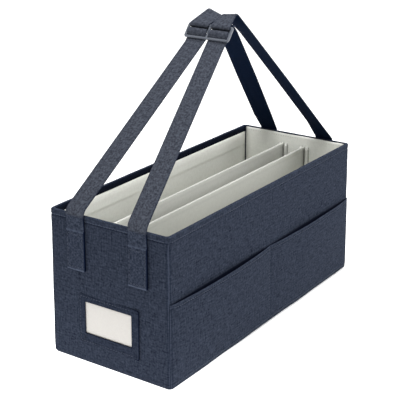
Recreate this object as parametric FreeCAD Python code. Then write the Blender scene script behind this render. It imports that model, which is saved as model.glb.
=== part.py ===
import FreeCAD, Part
import math
import os

# A long open storage box of woven cloth over stiff board, with a grey lining, two dividers that
# lift out of sewn channels, a pocket with two bays, a label holder and a webbing handle.
# Millimetres. X runs along the box, Y across it and Z up; the origin is the centre of the base.
# The label end is the left end (-X) and the pocket side is the front (-Y).

# The box and the layers of its walls
BOX_LENGTH = 400.0
BOX_WIDTH = 160.0
BOX_HEIGHT = 175.0
CORNER_RADIUS = 7.0
BASE_EDGE_RADIUS = 4.0
RIM_ROUND = 0.6
COVER_CLOTH = 0.9
BOARD = 2.2
LINING_CLOTH = 0.8
LONG_HEM = 7.5  # how far the cover of a long side turns down inside the rim
OVERRUN = 5.0  # how far a cutting shape passes what it cuts

# The pocket panel, sewn down at both ends, at the middle and along its foot
POCKET_TOP = 100.0
POCKET_CLOTH = 1.0
POCKET_SEAM = 4.0
POCKET_RAMP = 10.0  # the stretch beside a seam in which the cloth leaves the wall
POCKET_MOUTH_STAND = 5.0  # how far the middle of a bay stands off the wall
POCKET_BELLY_STAND = 4.8
POCKET_FOOT_STAND = 0.4
POCKET_SHOULDER_SHARE = 0.93  # of that stand, at the top of a ramp
POCKET_BELLY_HEIGHT_SHARE = 0.5

# The label holder, sewn on three sides and open towards the front, and its card
HOLDER_WIDTH = 84.0
HOLDER_HEIGHT = 59.0
HOLDER_BOTTOM = 25.0
HOLDER_CLOTH = 0.9
HOLDER_CORNER = 2.0
WINDOW_WIDTH = 63.4
WINDOW_HEIGHT = 37.4
WINDOW_SILL = 13.6  # from the holder's lower edge to the window
CARD_WIDTH = 72.0
CARD_HEIGHT = 44.0
CARD_THICKNESS = 0.5
CARD_FACE_CLEARANCE = 0.15
CARD_EDGE_CLEARANCE = 0.4

# The dividers and the ribs that hold their ends
DIVIDER_OFFSET = 16.0  # from the middle of the box to a divider's middle plane
DIVIDER_BELOW_RIM = 14.0
DIVIDER_CORE = 2.0
DIVIDER_CLOTH = 0.6
DIVIDER_ROUND = 1.2
DIVIDER_END_CLEARANCE = 0.6
RIB_WIDTH = 5.5
RIB_DEPTH = 3.5
RIB_ROUND = 1.5
RIB_ABOVE_DIVIDER = 3.0
RIB_CLEARANCE = 0.3

# The webbing
STRAP_WIDTH = 25.0
STRAP = 1.6
STRAP_INSET = 25.5  # from a long side of the box to a sewn strap's outer edge
TAB_LENGTH = 63.0  # from a strap's sewn end up to the rim
LEG_BEND_RADIUS = 6.0
STRAP_SIDE_CLEARANCE = 0.55
STRAP_BAR_CLEARANCE = 0.3
STRAP_TO_STRAP = 1.6  # between the two straps that share a slider window
TAIL_LENGTH = 20.0
FOLD_BACK = 16.0
JUNCTION_SETBACK = 6.0  # from a bend at the handle's crown to the top of a free leg

# The slider and the crown of the handle
SLIDER_BAR = 2.8
SLIDER_CORNER = 3.0
SLIDER_EDGE = 0.8
SLIDER_SLOPE = 51.0  # degrees from level
SLIDER_X = -8.8
SLIDER_ABOVE_RIM = 170.0
RIDGE_X = 21.5
RIDGE_ABOVE_RIM = 189.0
RIDGE_RADIUS = 7.0
SPLIT_X = 46.0  # where the two straps part on the right
SPLIT_ABOVE_RIM = 169.0
SPLIT_RADIUS = 40.0
CROWN_GAP = 0.4  # between the two straps at the ridge

# Sizes that follow from those above
WALL = COVER_CLOTH + BOARD + LINING_CLOTH
BOARD_FACE = COVER_CLOTH + BOARD  # depth of a board's inner face
FLOOR = WALL  # the base has the layers of a wall
HALF_LENGTH = BOX_LENGTH / 2
HALF_WIDTH = BOX_WIDTH / 2
LID = BOX_HEIGHT - COVER_CLOTH  # underside of the cloth that caps the rim
CARD_SLOT = CARD_THICKNESS + 2 * CARD_FACE_CLEARANCE
HOLDER_DEPTH = CARD_SLOT + HOLDER_CLOTH
CARD_MIDDLE = HOLDER_BOTTOM + WINDOW_SILL + WINDOW_HEIGHT / 2
DIVIDER_THICKNESS = DIVIDER_CORE + 2 * DIVIDER_CLOTH
DIVIDER_TOP = BOX_HEIGHT - DIVIDER_BELOW_RIM
DIVIDER_LENGTH = BOX_LENGTH - 2 * WALL - 2 * DIVIDER_END_CLEARANCE
STRAP_OFFSET = HALF_WIDTH - STRAP_INSET - STRAP_WIDTH / 2  # to the middle of a sewn strap
TAB_BOTTOM = BOX_HEIGHT - TAB_LENGTH
SLIDER_WINDOW = 2 * (STRAP + STRAP_BAR_CLEARANCE) + STRAP_TO_STRAP
SLIDER_PITCH = SLIDER_WINDOW + SLIDER_BAR
SLIDER_LENGTH = 2 * SLIDER_PITCH + SLIDER_BAR
SLIDER_BAY = STRAP_WIDTH + 2 * STRAP_SIDE_CLEARANCE
SLIDER_WIDTH = 2 * SLIDER_BAY + 3 * SLIDER_BAR
SLIDER_Z = BOX_HEIGHT + SLIDER_ABOVE_RIM
STRAP_AT_SLIDER = (SLIDER_BAR + SLIDER_BAY) / 2
STRAP_AT_RIDGE = (STRAP_WIDTH + CROWN_GAP) / 2
WRAP = SLIDER_BAR / 2 + STRAP_BAR_CLEARANCE + STRAP / 2  # middle of a strap that goes round a bar

X_AXIS = FreeCAD.Vector(1, 0, 0)
Y_AXIS = FreeCAD.Vector(0, 1, 0)
Z_AXIS = FreeCAD.Vector(0, 0, 1)
ORIGIN = FreeCAD.Vector(0, 0, 0)
TINY = 1e-6

parts = {}


def block(low, high):
    """A box between two corners."""
    low = FreeCAD.Vector(*low)
    size = FreeCAD.Vector(*high) - low
    return Part.makeBox(size.x, size.y, size.z, low)


def edges_along(shape, axis):
    """The straight edges of a shape that run along an axis."""
    found = []
    for edge in shape.Edges:
        run = edge.Vertexes[-1].Point - edge.Vertexes[0].Point
        if run.cross(axis).Length < TINY < run.Length:
            found.append(edge)
    return found


def edges_at_height(shape, height):
    """The edges of a shape that lie flat at one height."""
    boxes = [(edge, edge.BoundBox) for edge in shape.Edges]
    return [e for e, b in boxes if abs(b.ZMin - height) < TINY and abs(b.ZMax - height) < TINY]


# The cover: a tub of cloth with a lip over the rim, cut into panels at its corner seams


def rounded_tub(half_length, half_width, bottom, top, corner, edge):
    """A solid tub with rounded upright corners and a rounded lower edge."""
    tub = block((-half_length, -half_width, bottom), (half_length, half_width, top))
    tub = tub.makeFillet(corner, edges_along(tub, Z_AXIS))
    return tub.makeFillet(edge, edges_at_height(tub, bottom))


def cover_tub():
    """The whole cover in one piece: outside, inside and the mouth inside the lip."""
    outside = rounded_tub(
        HALF_LENGTH, HALF_WIDTH, 0, BOX_HEIGHT, CORNER_RADIUS, BASE_EDGE_RADIUS
    )
    inside = rounded_tub(
        HALF_LENGTH - COVER_CLOTH,
        HALF_WIDTH - COVER_CLOTH,
        COVER_CLOTH,
        LID,
        CORNER_RADIUS - COVER_CLOTH,
        BASE_EDGE_RADIUS - COVER_CLOTH,
    )
    mouth = block(
        (WALL - HALF_LENGTH, WALL - HALF_WIDTH, LID - OVERRUN),
        (HALF_LENGTH - WALL, HALF_WIDTH - WALL, BOX_HEIGHT + OVERRUN),
    )
    tub = outside.cut([inside, mouth])
    return tub.makeFillet(RIM_ROUND, edges_at_height(tub, BOX_HEIGHT))


def base_zone():
    """Everything nearer to the base than to a wall: its sides slope in at 45 degrees."""
    reach = HALF_LENGTH + OVERRUN
    breadth = HALF_WIDTH + OVERRUN
    zone = Part.makeWedge(
        -reach, -OVERRUN, -breadth, WALL - HALF_WIDTH, WALL - HALF_LENGTH,
        reach, WALL, breadth, HALF_WIDTH - WALL, HALF_LENGTH - WALL,
    )
    zone.rotate(ORIGIN, X_AXIS, 90)
    return zone


def wall_zone(corners):
    """An upright prism over a plan outline, past the top and bottom of the box."""
    points = [FreeCAD.Vector(x, y, -OVERRUN) for x, y in corners]
    outline = Part.makePolygon(points + points[:1])
    return Part.Face(outline).extrude(Z_AXIS * (BOX_HEIGHT + 2 * OVERRUN))


def long_hem(side):
    """The strip of cover that turns down inside the rim of a long side."""
    depths = sorted((side * (HALF_WIDTH - WALL), side * (HALF_WIDTH - BOARD_FACE)))
    return block(
        (WALL - HALF_LENGTH, depths[0], BOX_HEIGHT - LONG_HEM),
        (HALF_LENGTH - WALL, depths[1], LID),
    )


def make_cover():
    tub = cover_tub()
    base = base_zone()
    reach = HALF_LENGTH + OVERRUN
    breadth = HALF_WIDTH + OVERRUN
    ridge = HALF_LENGTH - HALF_WIDTH  # where the mitres of an end meet in plan
    walls = tub.cut(base)
    parts["base_cover"] = tub.common(base)
    for name, side in (("front", -1), ("back", 1)):
        corners = [(-reach, side * breadth), (reach, side * breadth), (ridge, 0), (-ridge, 0)]
        panel = walls.common(wall_zone(corners))
        parts[name + "_cover"] = panel.fuse(long_hem(side)).removeSplitter()
    for name, side in (("left_end", -1), ("right_end", 1)):
        corners = [(side * reach, -breadth), (side * reach, breadth), (side * ridge, 0)]
        parts[name + "_cover"] = walls.common(wall_zone(corners))


# The stiffening boards, between the cover and the lining


def make_boards():
    board_length = HALF_LENGTH - CORNER_RADIUS
    board_width = HALF_WIDTH - CORNER_RADIUS
    parts["base_board"] = block(
        (-board_length, -board_width, COVER_CLOTH), (board_length, board_width, BOARD_FACE)
    )
    for name, side in (("front", -1), ("back", 1)):
        faces = sorted((side * (HALF_WIDTH - BOARD_FACE), side * (HALF_WIDTH - COVER_CLOTH)))
        parts[name + "_board"] = block(
            (-board_length, faces[0], BASE_EDGE_RADIUS), (board_length, faces[1], LID)
        )
    for name, side in (("left_end", -1), ("right_end", 1)):
        faces = sorted((side * (HALF_LENGTH - BOARD_FACE), side * (HALF_LENGTH - COVER_CLOTH)))
        parts[name + "_board"] = block(
            (faces[0], -board_width, BASE_EDGE_RADIUS), (faces[1], board_width, LID)
        )


# The lining: on the ends it reaches the rim, on the long sides it stops under the hem


def make_lining():
    parts["floor_lining"] = block(
        (BOARD_FACE - HALF_LENGTH, BOARD_FACE - HALF_WIDTH, BOARD_FACE),
        (HALF_LENGTH - BOARD_FACE, HALF_WIDTH - BOARD_FACE, FLOOR),
    )
    for name, side in (("front", -1), ("back", 1)):
        faces = sorted((side * (HALF_WIDTH - WALL), side * (HALF_WIDTH - BOARD_FACE)))
        parts[name + "_lining"] = block(
            (WALL - HALF_LENGTH, faces[0], FLOOR),
            (HALF_LENGTH - WALL, faces[1], BOX_HEIGHT - LONG_HEM),
        )
    for name, side in (("left_end", -1), ("right_end", 1)):
        faces = sorted((side * (HALF_LENGTH - WALL), side * (HALF_LENGTH - BOARD_FACE)))
        parts[name + "_lining"] = block(
            (faces[0], BOARD_FACE - HALF_WIDTH, FLOOR), (faces[1], HALF_WIDTH - BOARD_FACE, LID)
        )


# The pocket panel: one cloth whose two bays stand open at the top


def pocket_section(height, stand):
    """The panel's outline in plan at one height: flat at its seams and off the wall in each bay."""
    end = HALF_LENGTH - CORNER_RADIUS
    bays = ((POCKET_SEAM - end, -POCKET_SEAM / 2), (POCKET_SEAM / 2, end - POCKET_SEAM))
    shoulder = stand * POCKET_SHOULDER_SHARE

    def face_line(depth):
        def point(x, off):
            return FreeCAD.Vector(x, -HALF_WIDTH - depth - off, height)

        line = []
        last = point(-end, 0)
        for start, stop in bays:
            rise = point(start + POCKET_RAMP, shoulder)
            fall = point(stop - POCKET_RAMP, shoulder)
            line.append(Part.LineSegment(last, point(start, 0)))
            line.append(Part.LineSegment(point(start, 0), rise))
            line.append(Part.Arc(rise, point((start + stop) / 2, stand), fall))
            line.append(Part.LineSegment(fall, point(stop, 0)))
            last = point(stop, 0)
        line.append(Part.LineSegment(last, point(end, 0)))
        return [piece.toShape() for piece in line]

    back = face_line(0)
    front = face_line(POCKET_CLOTH)
    ends = [
        Part.makeLine(back[place].Vertexes[place].Point, front[place].Vertexes[place].Point)
        for place in (0, -1)
    ]
    return Part.Wire(Part.__sortEdges__(back + front + ends))


def make_pocket():
    foot = BASE_EDGE_RADIUS
    belly = foot + POCKET_BELLY_HEIGHT_SHARE * (POCKET_TOP - foot)
    sections = [
        pocket_section(foot, POCKET_FOOT_STAND),
        pocket_section(belly, POCKET_BELLY_STAND),
        pocket_section(POCKET_TOP, POCKET_MOUTH_STAND),
    ]
    parts["pocket_panel"] = Part.makeLoft(sections, True, True)


# The label holder and its card on the left end


def make_label():
    wall = -HALF_LENGTH
    holder = block(
        (wall - HOLDER_DEPTH, -HOLDER_WIDTH / 2, HOLDER_BOTTOM),
        (wall, HOLDER_WIDTH / 2, HOLDER_BOTTOM + HOLDER_HEIGHT),
    )
    holder = holder.makeFillet(HOLDER_CORNER, edges_along(holder, X_AXIS))
    sill = HOLDER_BOTTOM + WINDOW_SILL
    window = block(
        (wall - HOLDER_DEPTH - OVERRUN, -WINDOW_WIDTH / 2, sill),
        (wall + OVERRUN, WINDOW_WIDTH / 2, sill + WINDOW_HEIGHT),
    )
    slot_reach = CARD_HEIGHT / 2 + CARD_EDGE_CLEARANCE
    slot = block(
        (wall - CARD_SLOT, -HOLDER_WIDTH / 2 - OVERRUN, CARD_MIDDLE - slot_reach),
        (wall + OVERRUN, CARD_WIDTH / 2 + CARD_EDGE_CLEARANCE, CARD_MIDDLE + slot_reach),
    )
    parts["label_holder"] = holder.cut([window, slot])
    card_face = wall - CARD_FACE_CLEARANCE
    parts["label_card"] = block(
        (card_face - CARD_THICKNESS, -CARD_WIDTH / 2, CARD_MIDDLE - CARD_HEIGHT / 2),
        (card_face, CARD_WIDTH / 2, CARD_MIDDLE + CARD_HEIGHT / 2),
    )


# The dividers, each a board in a sleeve that is open below, and the ribs of their channels


def make_dividers():
    reach = DIVIDER_LENGTH / 2
    for name, side in (("front", -1), ("back", 1)):
        middle = side * DIVIDER_OFFSET
        core = block(
            (DIVIDER_CLOTH - reach, middle - DIVIDER_CORE / 2, FLOOR),
            (reach - DIVIDER_CLOTH, middle + DIVIDER_CORE / 2, DIVIDER_TOP - DIVIDER_CLOTH),
        )
        sleeve = block(
            (-reach, middle - DIVIDER_THICKNESS / 2, FLOOR),
            (reach, middle + DIVIDER_THICKNESS / 2, DIVIDER_TOP),
        )
        long_edges = edges_along(sleeve, X_AXIS)
        top_edges = [e for e in long_edges if abs(e.BoundBox.ZMin - DIVIDER_TOP) < TINY]
        sleeve = sleeve.makeFillet(DIVIDER_ROUND, top_edges)
        parts[name + "_divider_core"] = core
        parts[name + "_divider_sleeve"] = sleeve.cut(core)


def channel_rib(end, middle):
    """One rounded rib that stands on the lining of an end wall."""
    wall = end * (HALF_LENGTH - WALL)
    front = wall - end * RIB_DEPTH
    faces = sorted((wall, front))
    rib = block(
        (faces[0], middle - RIB_WIDTH / 2, FLOOR),
        (faces[1], middle + RIB_WIDTH / 2, DIVIDER_TOP + RIB_ABOVE_DIVIDER),
    )
    upright = edges_along(rib, Z_AXIS)
    return rib.makeFillet(RIB_ROUND, [e for e in upright if abs(e.BoundBox.XMin - front) < TINY])


def make_ribs():
    beside = DIVIDER_THICKNESS / 2 + RIB_CLEARANCE + RIB_WIDTH / 2
    for name, end in (("left", -1), ("right", 1)):
        middles = [
            side * DIVIDER_OFFSET + step * beside for side in (-1, 1) for step in (-1, 1)
        ]
        parts[name + "_channel_ribs"] = Part.makeCompound([channel_rib(end, y) for y in middles])


# The slider: a plate with two bays of two windows, tilted with the handle


def slider_point(along, above):
    """A point (x, z) given in the slider's own plane, from its middle bar."""
    slope = math.radians(SLIDER_SLOPE)
    x = SLIDER_X + along * math.cos(slope) - above * math.sin(slope)
    z = SLIDER_Z + along * math.sin(slope) + above * math.cos(slope)
    return (x, z)


def make_slider():
    half_bar = SLIDER_BAR / 2
    plate = block(
        (-SLIDER_LENGTH / 2, -SLIDER_WIDTH / 2, -half_bar),
        (SLIDER_LENGTH / 2, SLIDER_WIDTH / 2, half_bar),
    )
    plate = plate.makeFillet(SLIDER_CORNER, edges_along(plate, Z_AXIS))
    windows = []
    for along in (-1, 1):
        for across in (-1, 1):
            middle = along * SLIDER_PITCH / 2
            window = block(
                (middle - SLIDER_WINDOW / 2, across * STRAP_AT_SLIDER - SLIDER_BAY / 2, -OVERRUN),
                (middle + SLIDER_WINDOW / 2, across * STRAP_AT_SLIDER + SLIDER_BAY / 2, OVERRUN),
            )
            windows.append(window)
    frame = plate.cut(windows)
    rims = edges_at_height(frame, -half_bar) + edges_at_height(frame, half_bar)
    frame = frame.makeFillet(SLIDER_EDGE, rims)
    frame.rotate(ORIGIN, Y_AXIS, -SLIDER_SLOPE)
    frame.translate(FreeCAD.Vector(SLIDER_X, 0, SLIDER_Z))
    parts["strap_slider"] = frame


# Strap routes, worked out in the upright X-Z plane from lines that touch circles.
# A circle's side is its radius, positive when it lies to the left of the way along the strap.


def step(angle, length):
    """A move of some length along a heading, in radians from +X towards +Z."""
    return (length * math.cos(angle), length * math.sin(angle))


def moved(point, move):
    return (point[0] + move[0], point[1] + move[1])


def heading(start, start_side, end, end_side):
    """The heading of the straight run that touches a circle at each end."""
    reach = math.dist(start, end)
    direct = math.atan2(end[1] - start[1], end[0] - start[0])
    return direct - math.asin((end_side - start_side) / reach)


def line_beside(centre, side, angle):
    """A line, as a point and a heading, that touches a circle."""
    return (moved(centre, step(angle + math.pi / 2, -side)), angle)


def crossing(first, second):
    """The point where two lines meet."""
    (start, angle), (other, other_angle) = first, second
    gap = (other[0] - start[0], other[1] - start[1])
    reach = gap[0] * math.sin(other_angle) - gap[1] * math.cos(other_angle)
    return moved(start, step(angle, reach / math.sin(other_angle - angle)))


def strap_solid(route, bends, offsets):
    """A flat strap, its width along Y, through points (x, z) rounded by a radius at each bend.

    offsets gives the strap's middle in Y at each point.
    """
    turns = [math.atan2(b[1] - a[1], b[0] - a[0]) for a, b in zip(route, route[1:])]
    pieces = []
    start = route[0]
    for index, angle in enumerate(turns):
        last = index + 1 == len(turns)
        turn = 0 if last else math.remainder(turns[index + 1] - angle, 2 * math.pi)
        radius = 0 if last else bends[index]
        stop = moved(route[index + 1], step(angle, -radius * math.tan(abs(turn) / 2)))
        shift = offsets[index + 1] - offsets[index]
        run = FreeCAD.Vector(stop[0] - start[0], shift, stop[1] - start[1])
        if math.dist(start, stop) > TINY:
            pieces.append(strap_section(start, angle, offsets[index]).extrude(run))
        if not last:
            side = math.copysign(radius, turn)
            centre = moved(stop, step(angle + math.pi / 2, side))
            pivot = FreeCAD.Vector(centre[0], 0, centre[1])
            face = strap_section(stop, angle, offsets[index + 1])
            pieces.append(face.revolve(pivot, Y_AXIS, -math.degrees(turn)))
            start = moved(centre, step(turns[index + 1] + math.pi / 2, -side))
    if len(pieces) == 1:
        return pieces[0]
    return pieces[0].fuse(pieces[1:]).removeSplitter()


def strap_section(point, angle, offset):
    """The strap's cross-section, square to a heading."""
    across = step(angle + math.pi / 2, STRAP / 2)
    corners = []
    for thick, wide in ((-1, -1), (1, -1), (1, 1), (-1, 1)):
        x, z = moved(point, (thick * across[0], thick * across[1]))
        corners.append(FreeCAD.Vector(x, offset + wide * STRAP_WIDTH / 2, z))
    return Part.Face(Part.makePolygon(corners + corners[:1]))


UP = math.pi / 2


def leg_foot(end):
    """The top of a sewn tab, and the middle of the bend above it, on one end of the box."""
    top = (end * (HALF_LENGTH + STRAP / 2), BOX_HEIGHT)
    return top, (top[0] - end * LEG_BEND_RADIUS, BOX_HEIGHT)


def before_bend(point, angle, turn, radius):
    """A point on the way to a bend, a set distance before the bend starts."""
    return moved(point, step(angle, -JUNCTION_SETBACK - radius * math.tan(abs(turn) / 2)))


def make_tabs():
    for end_name, end in (("left", -1), ("right", 1)):
        faces = sorted((end * HALF_LENGTH, end * (HALF_LENGTH + STRAP)))
        for side_name, side in (("front", -1), ("back", 1)):
            middle = side * STRAP_OFFSET
            parts[end_name + "_" + side_name + "_strap_tab"] = block(
                (faces[0], middle - STRAP_WIDTH / 2, TAB_BOTTOM),
                (faces[1], middle + STRAP_WIDTH / 2, BOX_HEIGHT),
            )


def grip_headings():
    """The headings of a grip strap down from the ridge to the upper bar and, folded, back up."""
    ridge = (RIDGE_X, BOX_HEIGHT + RIDGE_ABOVE_RIM)
    fall = heading(ridge, 0, slider_point(SLIDER_PITCH, 0), WRAP)
    close = math.atan2(2 * WRAP - STRAP - STRAP_BAR_CLEARANCE, FOLD_BACK)
    return fall, fall + math.pi + close


def make_left_straps():
    """From the left tabs under the slider's lower bar, over its middle bar and under the upper."""
    top, bend = leg_foot(-1)
    lower_bar = slider_point(-SLIDER_PITCH, 0)
    middle_bar = slider_point(0, 0)
    upper_bar = slider_point(SLIDER_PITCH, 0)
    fold = grip_headings()[1]
    rise = heading(bend, -LEG_BEND_RADIUS, lower_bar, WRAP)
    weave = heading(lower_bar, WRAP, middle_bar, -WRAP)
    leg_line = line_beside(bend, -LEG_BEND_RADIUS, rise)
    weave_line = line_beside(lower_bar, WRAP, weave)
    down_line = line_beside(middle_bar, -WRAP, math.radians(SLIDER_SLOPE) - UP)
    tail_line = line_beside(upper_bar, WRAP + STRAP + STRAP_BAR_CLEARANCE, fold)
    leg_corner = crossing((top, UP), leg_line)
    under_bar = crossing(leg_line, weave_line)
    over_bar = crossing(weave_line, down_line)
    under_fold = crossing(down_line, tail_line)
    tail_end = moved(tail_line[0], step(fold, TAIL_LENGTH))
    junction = before_bend(under_bar, rise, weave - rise, WRAP)
    for name, side in (("front", -1), ("back", 1)):
        foot = side * STRAP_OFFSET
        crown = side * STRAP_AT_SLIDER
        parts["left_" + name + "_strap_leg"] = strap_solid(
            [top, leg_corner, junction], [LEG_BEND_RADIUS], [foot, foot, crown]
        )
        parts[name + "_strap_loop"] = strap_solid(
            [junction, under_bar, over_bar, under_fold, tail_end], [WRAP] * 3, [crown] * 5
        )


def make_right_straps():
    """From the right tabs over the ridge to the slider's upper bar, round it and back."""
    top, bend = leg_foot(1)
    split = (SPLIT_X, BOX_HEIGHT + SPLIT_ABOVE_RIM)
    ridge = (RIDGE_X, BOX_HEIGHT + RIDGE_ABOVE_RIM)
    upper_bar = slider_point(SLIDER_PITCH, 0)
    rise = heading(bend, LEG_BEND_RADIUS, split, 0)
    climb = math.atan2(ridge[1] - split[1], ridge[0] - split[0])
    fall, back = grip_headings()
    fall_line = line_beside(upper_bar, WRAP, fall)
    round_line = line_beside(upper_bar, WRAP, (fall + back) / 2)
    back_line = line_beside(upper_bar, WRAP, back)
    leg_corner = crossing((top, UP), line_beside(bend, LEG_BEND_RADIUS, rise))
    fold_end = moved(back_line[0], step(back, FOLD_BACK))
    junction = before_bend(split, rise, climb - rise, SPLIT_RADIUS)
    route = [junction, split, ridge]
    route += [crossing(fall_line, round_line), crossing(round_line, back_line), fold_end]
    for name, side in (("front", -1), ("back", 1)):
        foot = side * STRAP_OFFSET
        crown = side * STRAP_AT_RIDGE
        held = side * STRAP_AT_SLIDER
        parts["right_" + name + "_strap_leg"] = strap_solid(
            [top, leg_corner, junction], [LEG_BEND_RADIUS], [foot, foot, crown]
        )
        parts[name + "_grip_strap"] = strap_solid(
            route, [SPLIT_RADIUS, RIDGE_RADIUS, WRAP, WRAP], [crown] * 3 + [held] * 3
        )


make_cover()
make_boards()
make_lining()
make_pocket()
make_label()
make_dividers()
make_ribs()
make_slider()
make_tabs()
make_left_straps()
make_right_straps()

os.makedirs("parts", exist_ok=True)
for node, shape in parts.items():
    shape.exportStep("parts/" + node + ".step")
    print(node, "solids", len(shape.Solids), "valid", shape.isValid(), "mm3", round(shape.Volume))
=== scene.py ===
# %% [markdown]
# # A fabric storage organizer, dressed for its picture
# The CAD model of the box is loaded as a fixed frame. What follows is the cloth, webbing, thread and
# paper on it, placed in metres from the frame's own sizes, so nothing has to be fitted afterwards. Sewn
# cloth is a flat cut that has been bent, so most pieces are grids of points worked out with numpy, which
# puts every hem and seam where a needle would.

# %% Load the frame
import math

import bpy
import numpy as np
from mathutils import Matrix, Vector


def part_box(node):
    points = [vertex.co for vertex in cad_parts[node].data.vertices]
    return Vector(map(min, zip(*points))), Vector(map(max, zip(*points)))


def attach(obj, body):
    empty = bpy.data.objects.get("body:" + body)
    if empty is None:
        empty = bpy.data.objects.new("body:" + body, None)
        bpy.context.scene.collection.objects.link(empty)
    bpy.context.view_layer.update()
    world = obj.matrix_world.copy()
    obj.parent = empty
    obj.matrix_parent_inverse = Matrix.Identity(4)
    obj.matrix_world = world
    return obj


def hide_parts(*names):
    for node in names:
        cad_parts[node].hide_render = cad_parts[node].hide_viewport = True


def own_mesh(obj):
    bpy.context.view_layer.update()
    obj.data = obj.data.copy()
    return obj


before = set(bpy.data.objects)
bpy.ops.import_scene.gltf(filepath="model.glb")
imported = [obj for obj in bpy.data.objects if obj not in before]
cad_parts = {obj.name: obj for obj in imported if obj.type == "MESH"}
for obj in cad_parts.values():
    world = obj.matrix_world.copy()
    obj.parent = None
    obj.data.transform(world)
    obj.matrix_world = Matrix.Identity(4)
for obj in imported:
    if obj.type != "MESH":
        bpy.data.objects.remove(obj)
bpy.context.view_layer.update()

# %% [markdown]
# ## Objects and shader nodes
# Blender can be driven by operators, which act on what is selected, or through its data, which needs no
# selection. The data is used here, so that a step does the same each time. Three helpers cover most of
# it: one puts an object in the scene, one starts a material, and one adds a shader node and joins its
# inputs.

# %% Helpers
def add_object(name, data):
    """Put a new object in the scene."""
    made = bpy.data.objects.new(name, data)
    bpy.context.scene.collection.objects.link(made)
    return made


def new_material(name, roughness, specular, sheen=0.0):
    """A material, its node tree and its main shader."""
    material = bpy.data.materials.new(name)
    material.use_nodes = True
    shader = material.node_tree.nodes["Principled BSDF"]
    shader.inputs["Roughness"].default_value = roughness
    shader.inputs["Sheen Weight"].default_value = sheen
    shader.inputs["Specular IOR Level"].default_value = specular
    return material, material.node_tree, shader


def add(tree, kind, inputs=None, output=0, **settings):
    """Add a node, set its options, link or fill its inputs, and give back one of its outputs."""
    node = tree.nodes.new("ShaderNode" + kind)
    for key, value in settings.items():
        setattr(node, key, value)
    for key, value in (inputs or {}).items():
        if isinstance(value, bpy.types.NodeSocket):
            tree.links.new(value, node.inputs[key])
        else:
            node.inputs[key].default_value = value
    return node.outputs[output]


print("helpers", [helper.__name__ for helper in (add_object, new_material, add)])

# %% [markdown]
# ## The camera
# The picture is a product shot from above the label end. A camera can be turned by hand until it looks
# right, but this one's direction was worked out from the corners of the box, so it is set by two angles
# and a place. A long lens keeps the walls nearly parallel, as they are in the picture.

# %% Camera
CAMERA_AZIMUTH = math.radians(-55.66)
CAMERA_ELEVATION = math.radians(19.97)
CAMERA_PLACE = Vector((-1.0177, -0.6773, 0.5842))
CAMERA_LENS = 97.2  # on a sensor 36 mm wide

towards_camera = Vector((
    math.sin(CAMERA_AZIMUTH) * math.cos(CAMERA_ELEVATION),
    -math.cos(CAMERA_AZIMUTH) * math.cos(CAMERA_ELEVATION),
    math.sin(CAMERA_ELEVATION),
))
camera = add_object("camera", bpy.data.cameras.new("camera"))
camera.data.lens = CAMERA_LENS
camera.location = CAMERA_PLACE
camera.rotation_mode = "QUATERNION"
camera.rotation_quaternion = (-towards_camera).to_track_quat("-Z", "Y")
bpy.context.scene.camera = camera
print("camera", [round(x, 3) for x in camera.location], "lens", CAMERA_LENS)

# %% [markdown]
# ## The floor
# A product shot stands on a white floor without a visible edge. A curved backdrop could hide the edge,
# but a plane that is wide enough does it with four points. The floor glows like a lit table, most round
# the label end, which it lights from below.

# %% Floor
WHITE = (1, 1, 1, 1)
FLOOR_REACH = 40.0
FLOOR_LEVEL = -0.0005  # just clear of the underside
FLOOR_COLOUR = (0.9, 0.9, 0.9, 1)
FLOOR_GLOW = (0.42, 2.2)  # far off, and in the middle of the bright patch
GLOW_REACH = (0.26, 0.30, 1.0)
GLOW_MIDDLE = (-0.27, 0.04, 0.0)


def make_floor():
    mesh = bpy.data.meshes.new("floor")
    corners = [(-1, -1), (1, -1), (1, 1), (-1, 1)]
    corners = [(x * FLOOR_REACH, y * FLOOR_REACH, FLOOR_LEVEL) for x, y in corners]
    mesh.from_pydata(corners, [], [(0, 1, 2, 3)])
    paint, tree, shader = new_material("pale_floor", roughness=0.9, specular=0.5)
    shader.inputs["Base Color"].default_value = FLOOR_COLOUR
    shader.inputs["Emission Color"].default_value = WHITE
    scale = [1 / reach for reach in GLOW_REACH]
    shift = [-middle / reach for middle, reach in zip(GLOW_MIDDLE, GLOW_REACH)]
    place = add(tree, "TexCoord", output=3)
    place = add(tree, "Mapping", {"Vector": place, "Scale": scale, "Location": shift})
    patch = add(tree, "TexGradient", {"Vector": place}, 1, gradient_type="SPHERICAL")
    weak, strong = FLOOR_GLOW
    glow = add(tree, "MapRange", {"Value": patch, "To Min": weak, "To Max": strong})
    tree.links.new(glow, shader.inputs["Emission Strength"])
    mesh.materials.append(paint)
    add_object("floor", mesh)


make_floor()
print("floor", 2 * FLOOR_REACH, "m wide")

# %% [markdown]
# ## The lamps
# Large soft lamps keep the shadows weak. A picture of a studio could light the whole scene, but area
# lamps are soft by their size alone and can be set one by one. The strongest stands at the front right
# and lights the pocket side, one overhead lights the straps and the inside, and a weak one stands on
# the left. A plain white world fills in the rest.

# %% Lamps
AIM = Vector((0, 0, 0.15))  # the lamps point at the middle of the object
LAMPS = {  # place, size in metres, watts
    "left_lamp": ((-2.2, -0.6, 2.2), 1.8, 9),
    "front_lamp": ((2.3, -1.7, 1.0), 1.8, 62),
    "overhead_lamp": ((-0.1, -0.1, 1.6), 1.2, 25),
}
WORLD_STRENGTH = 0.62

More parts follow.
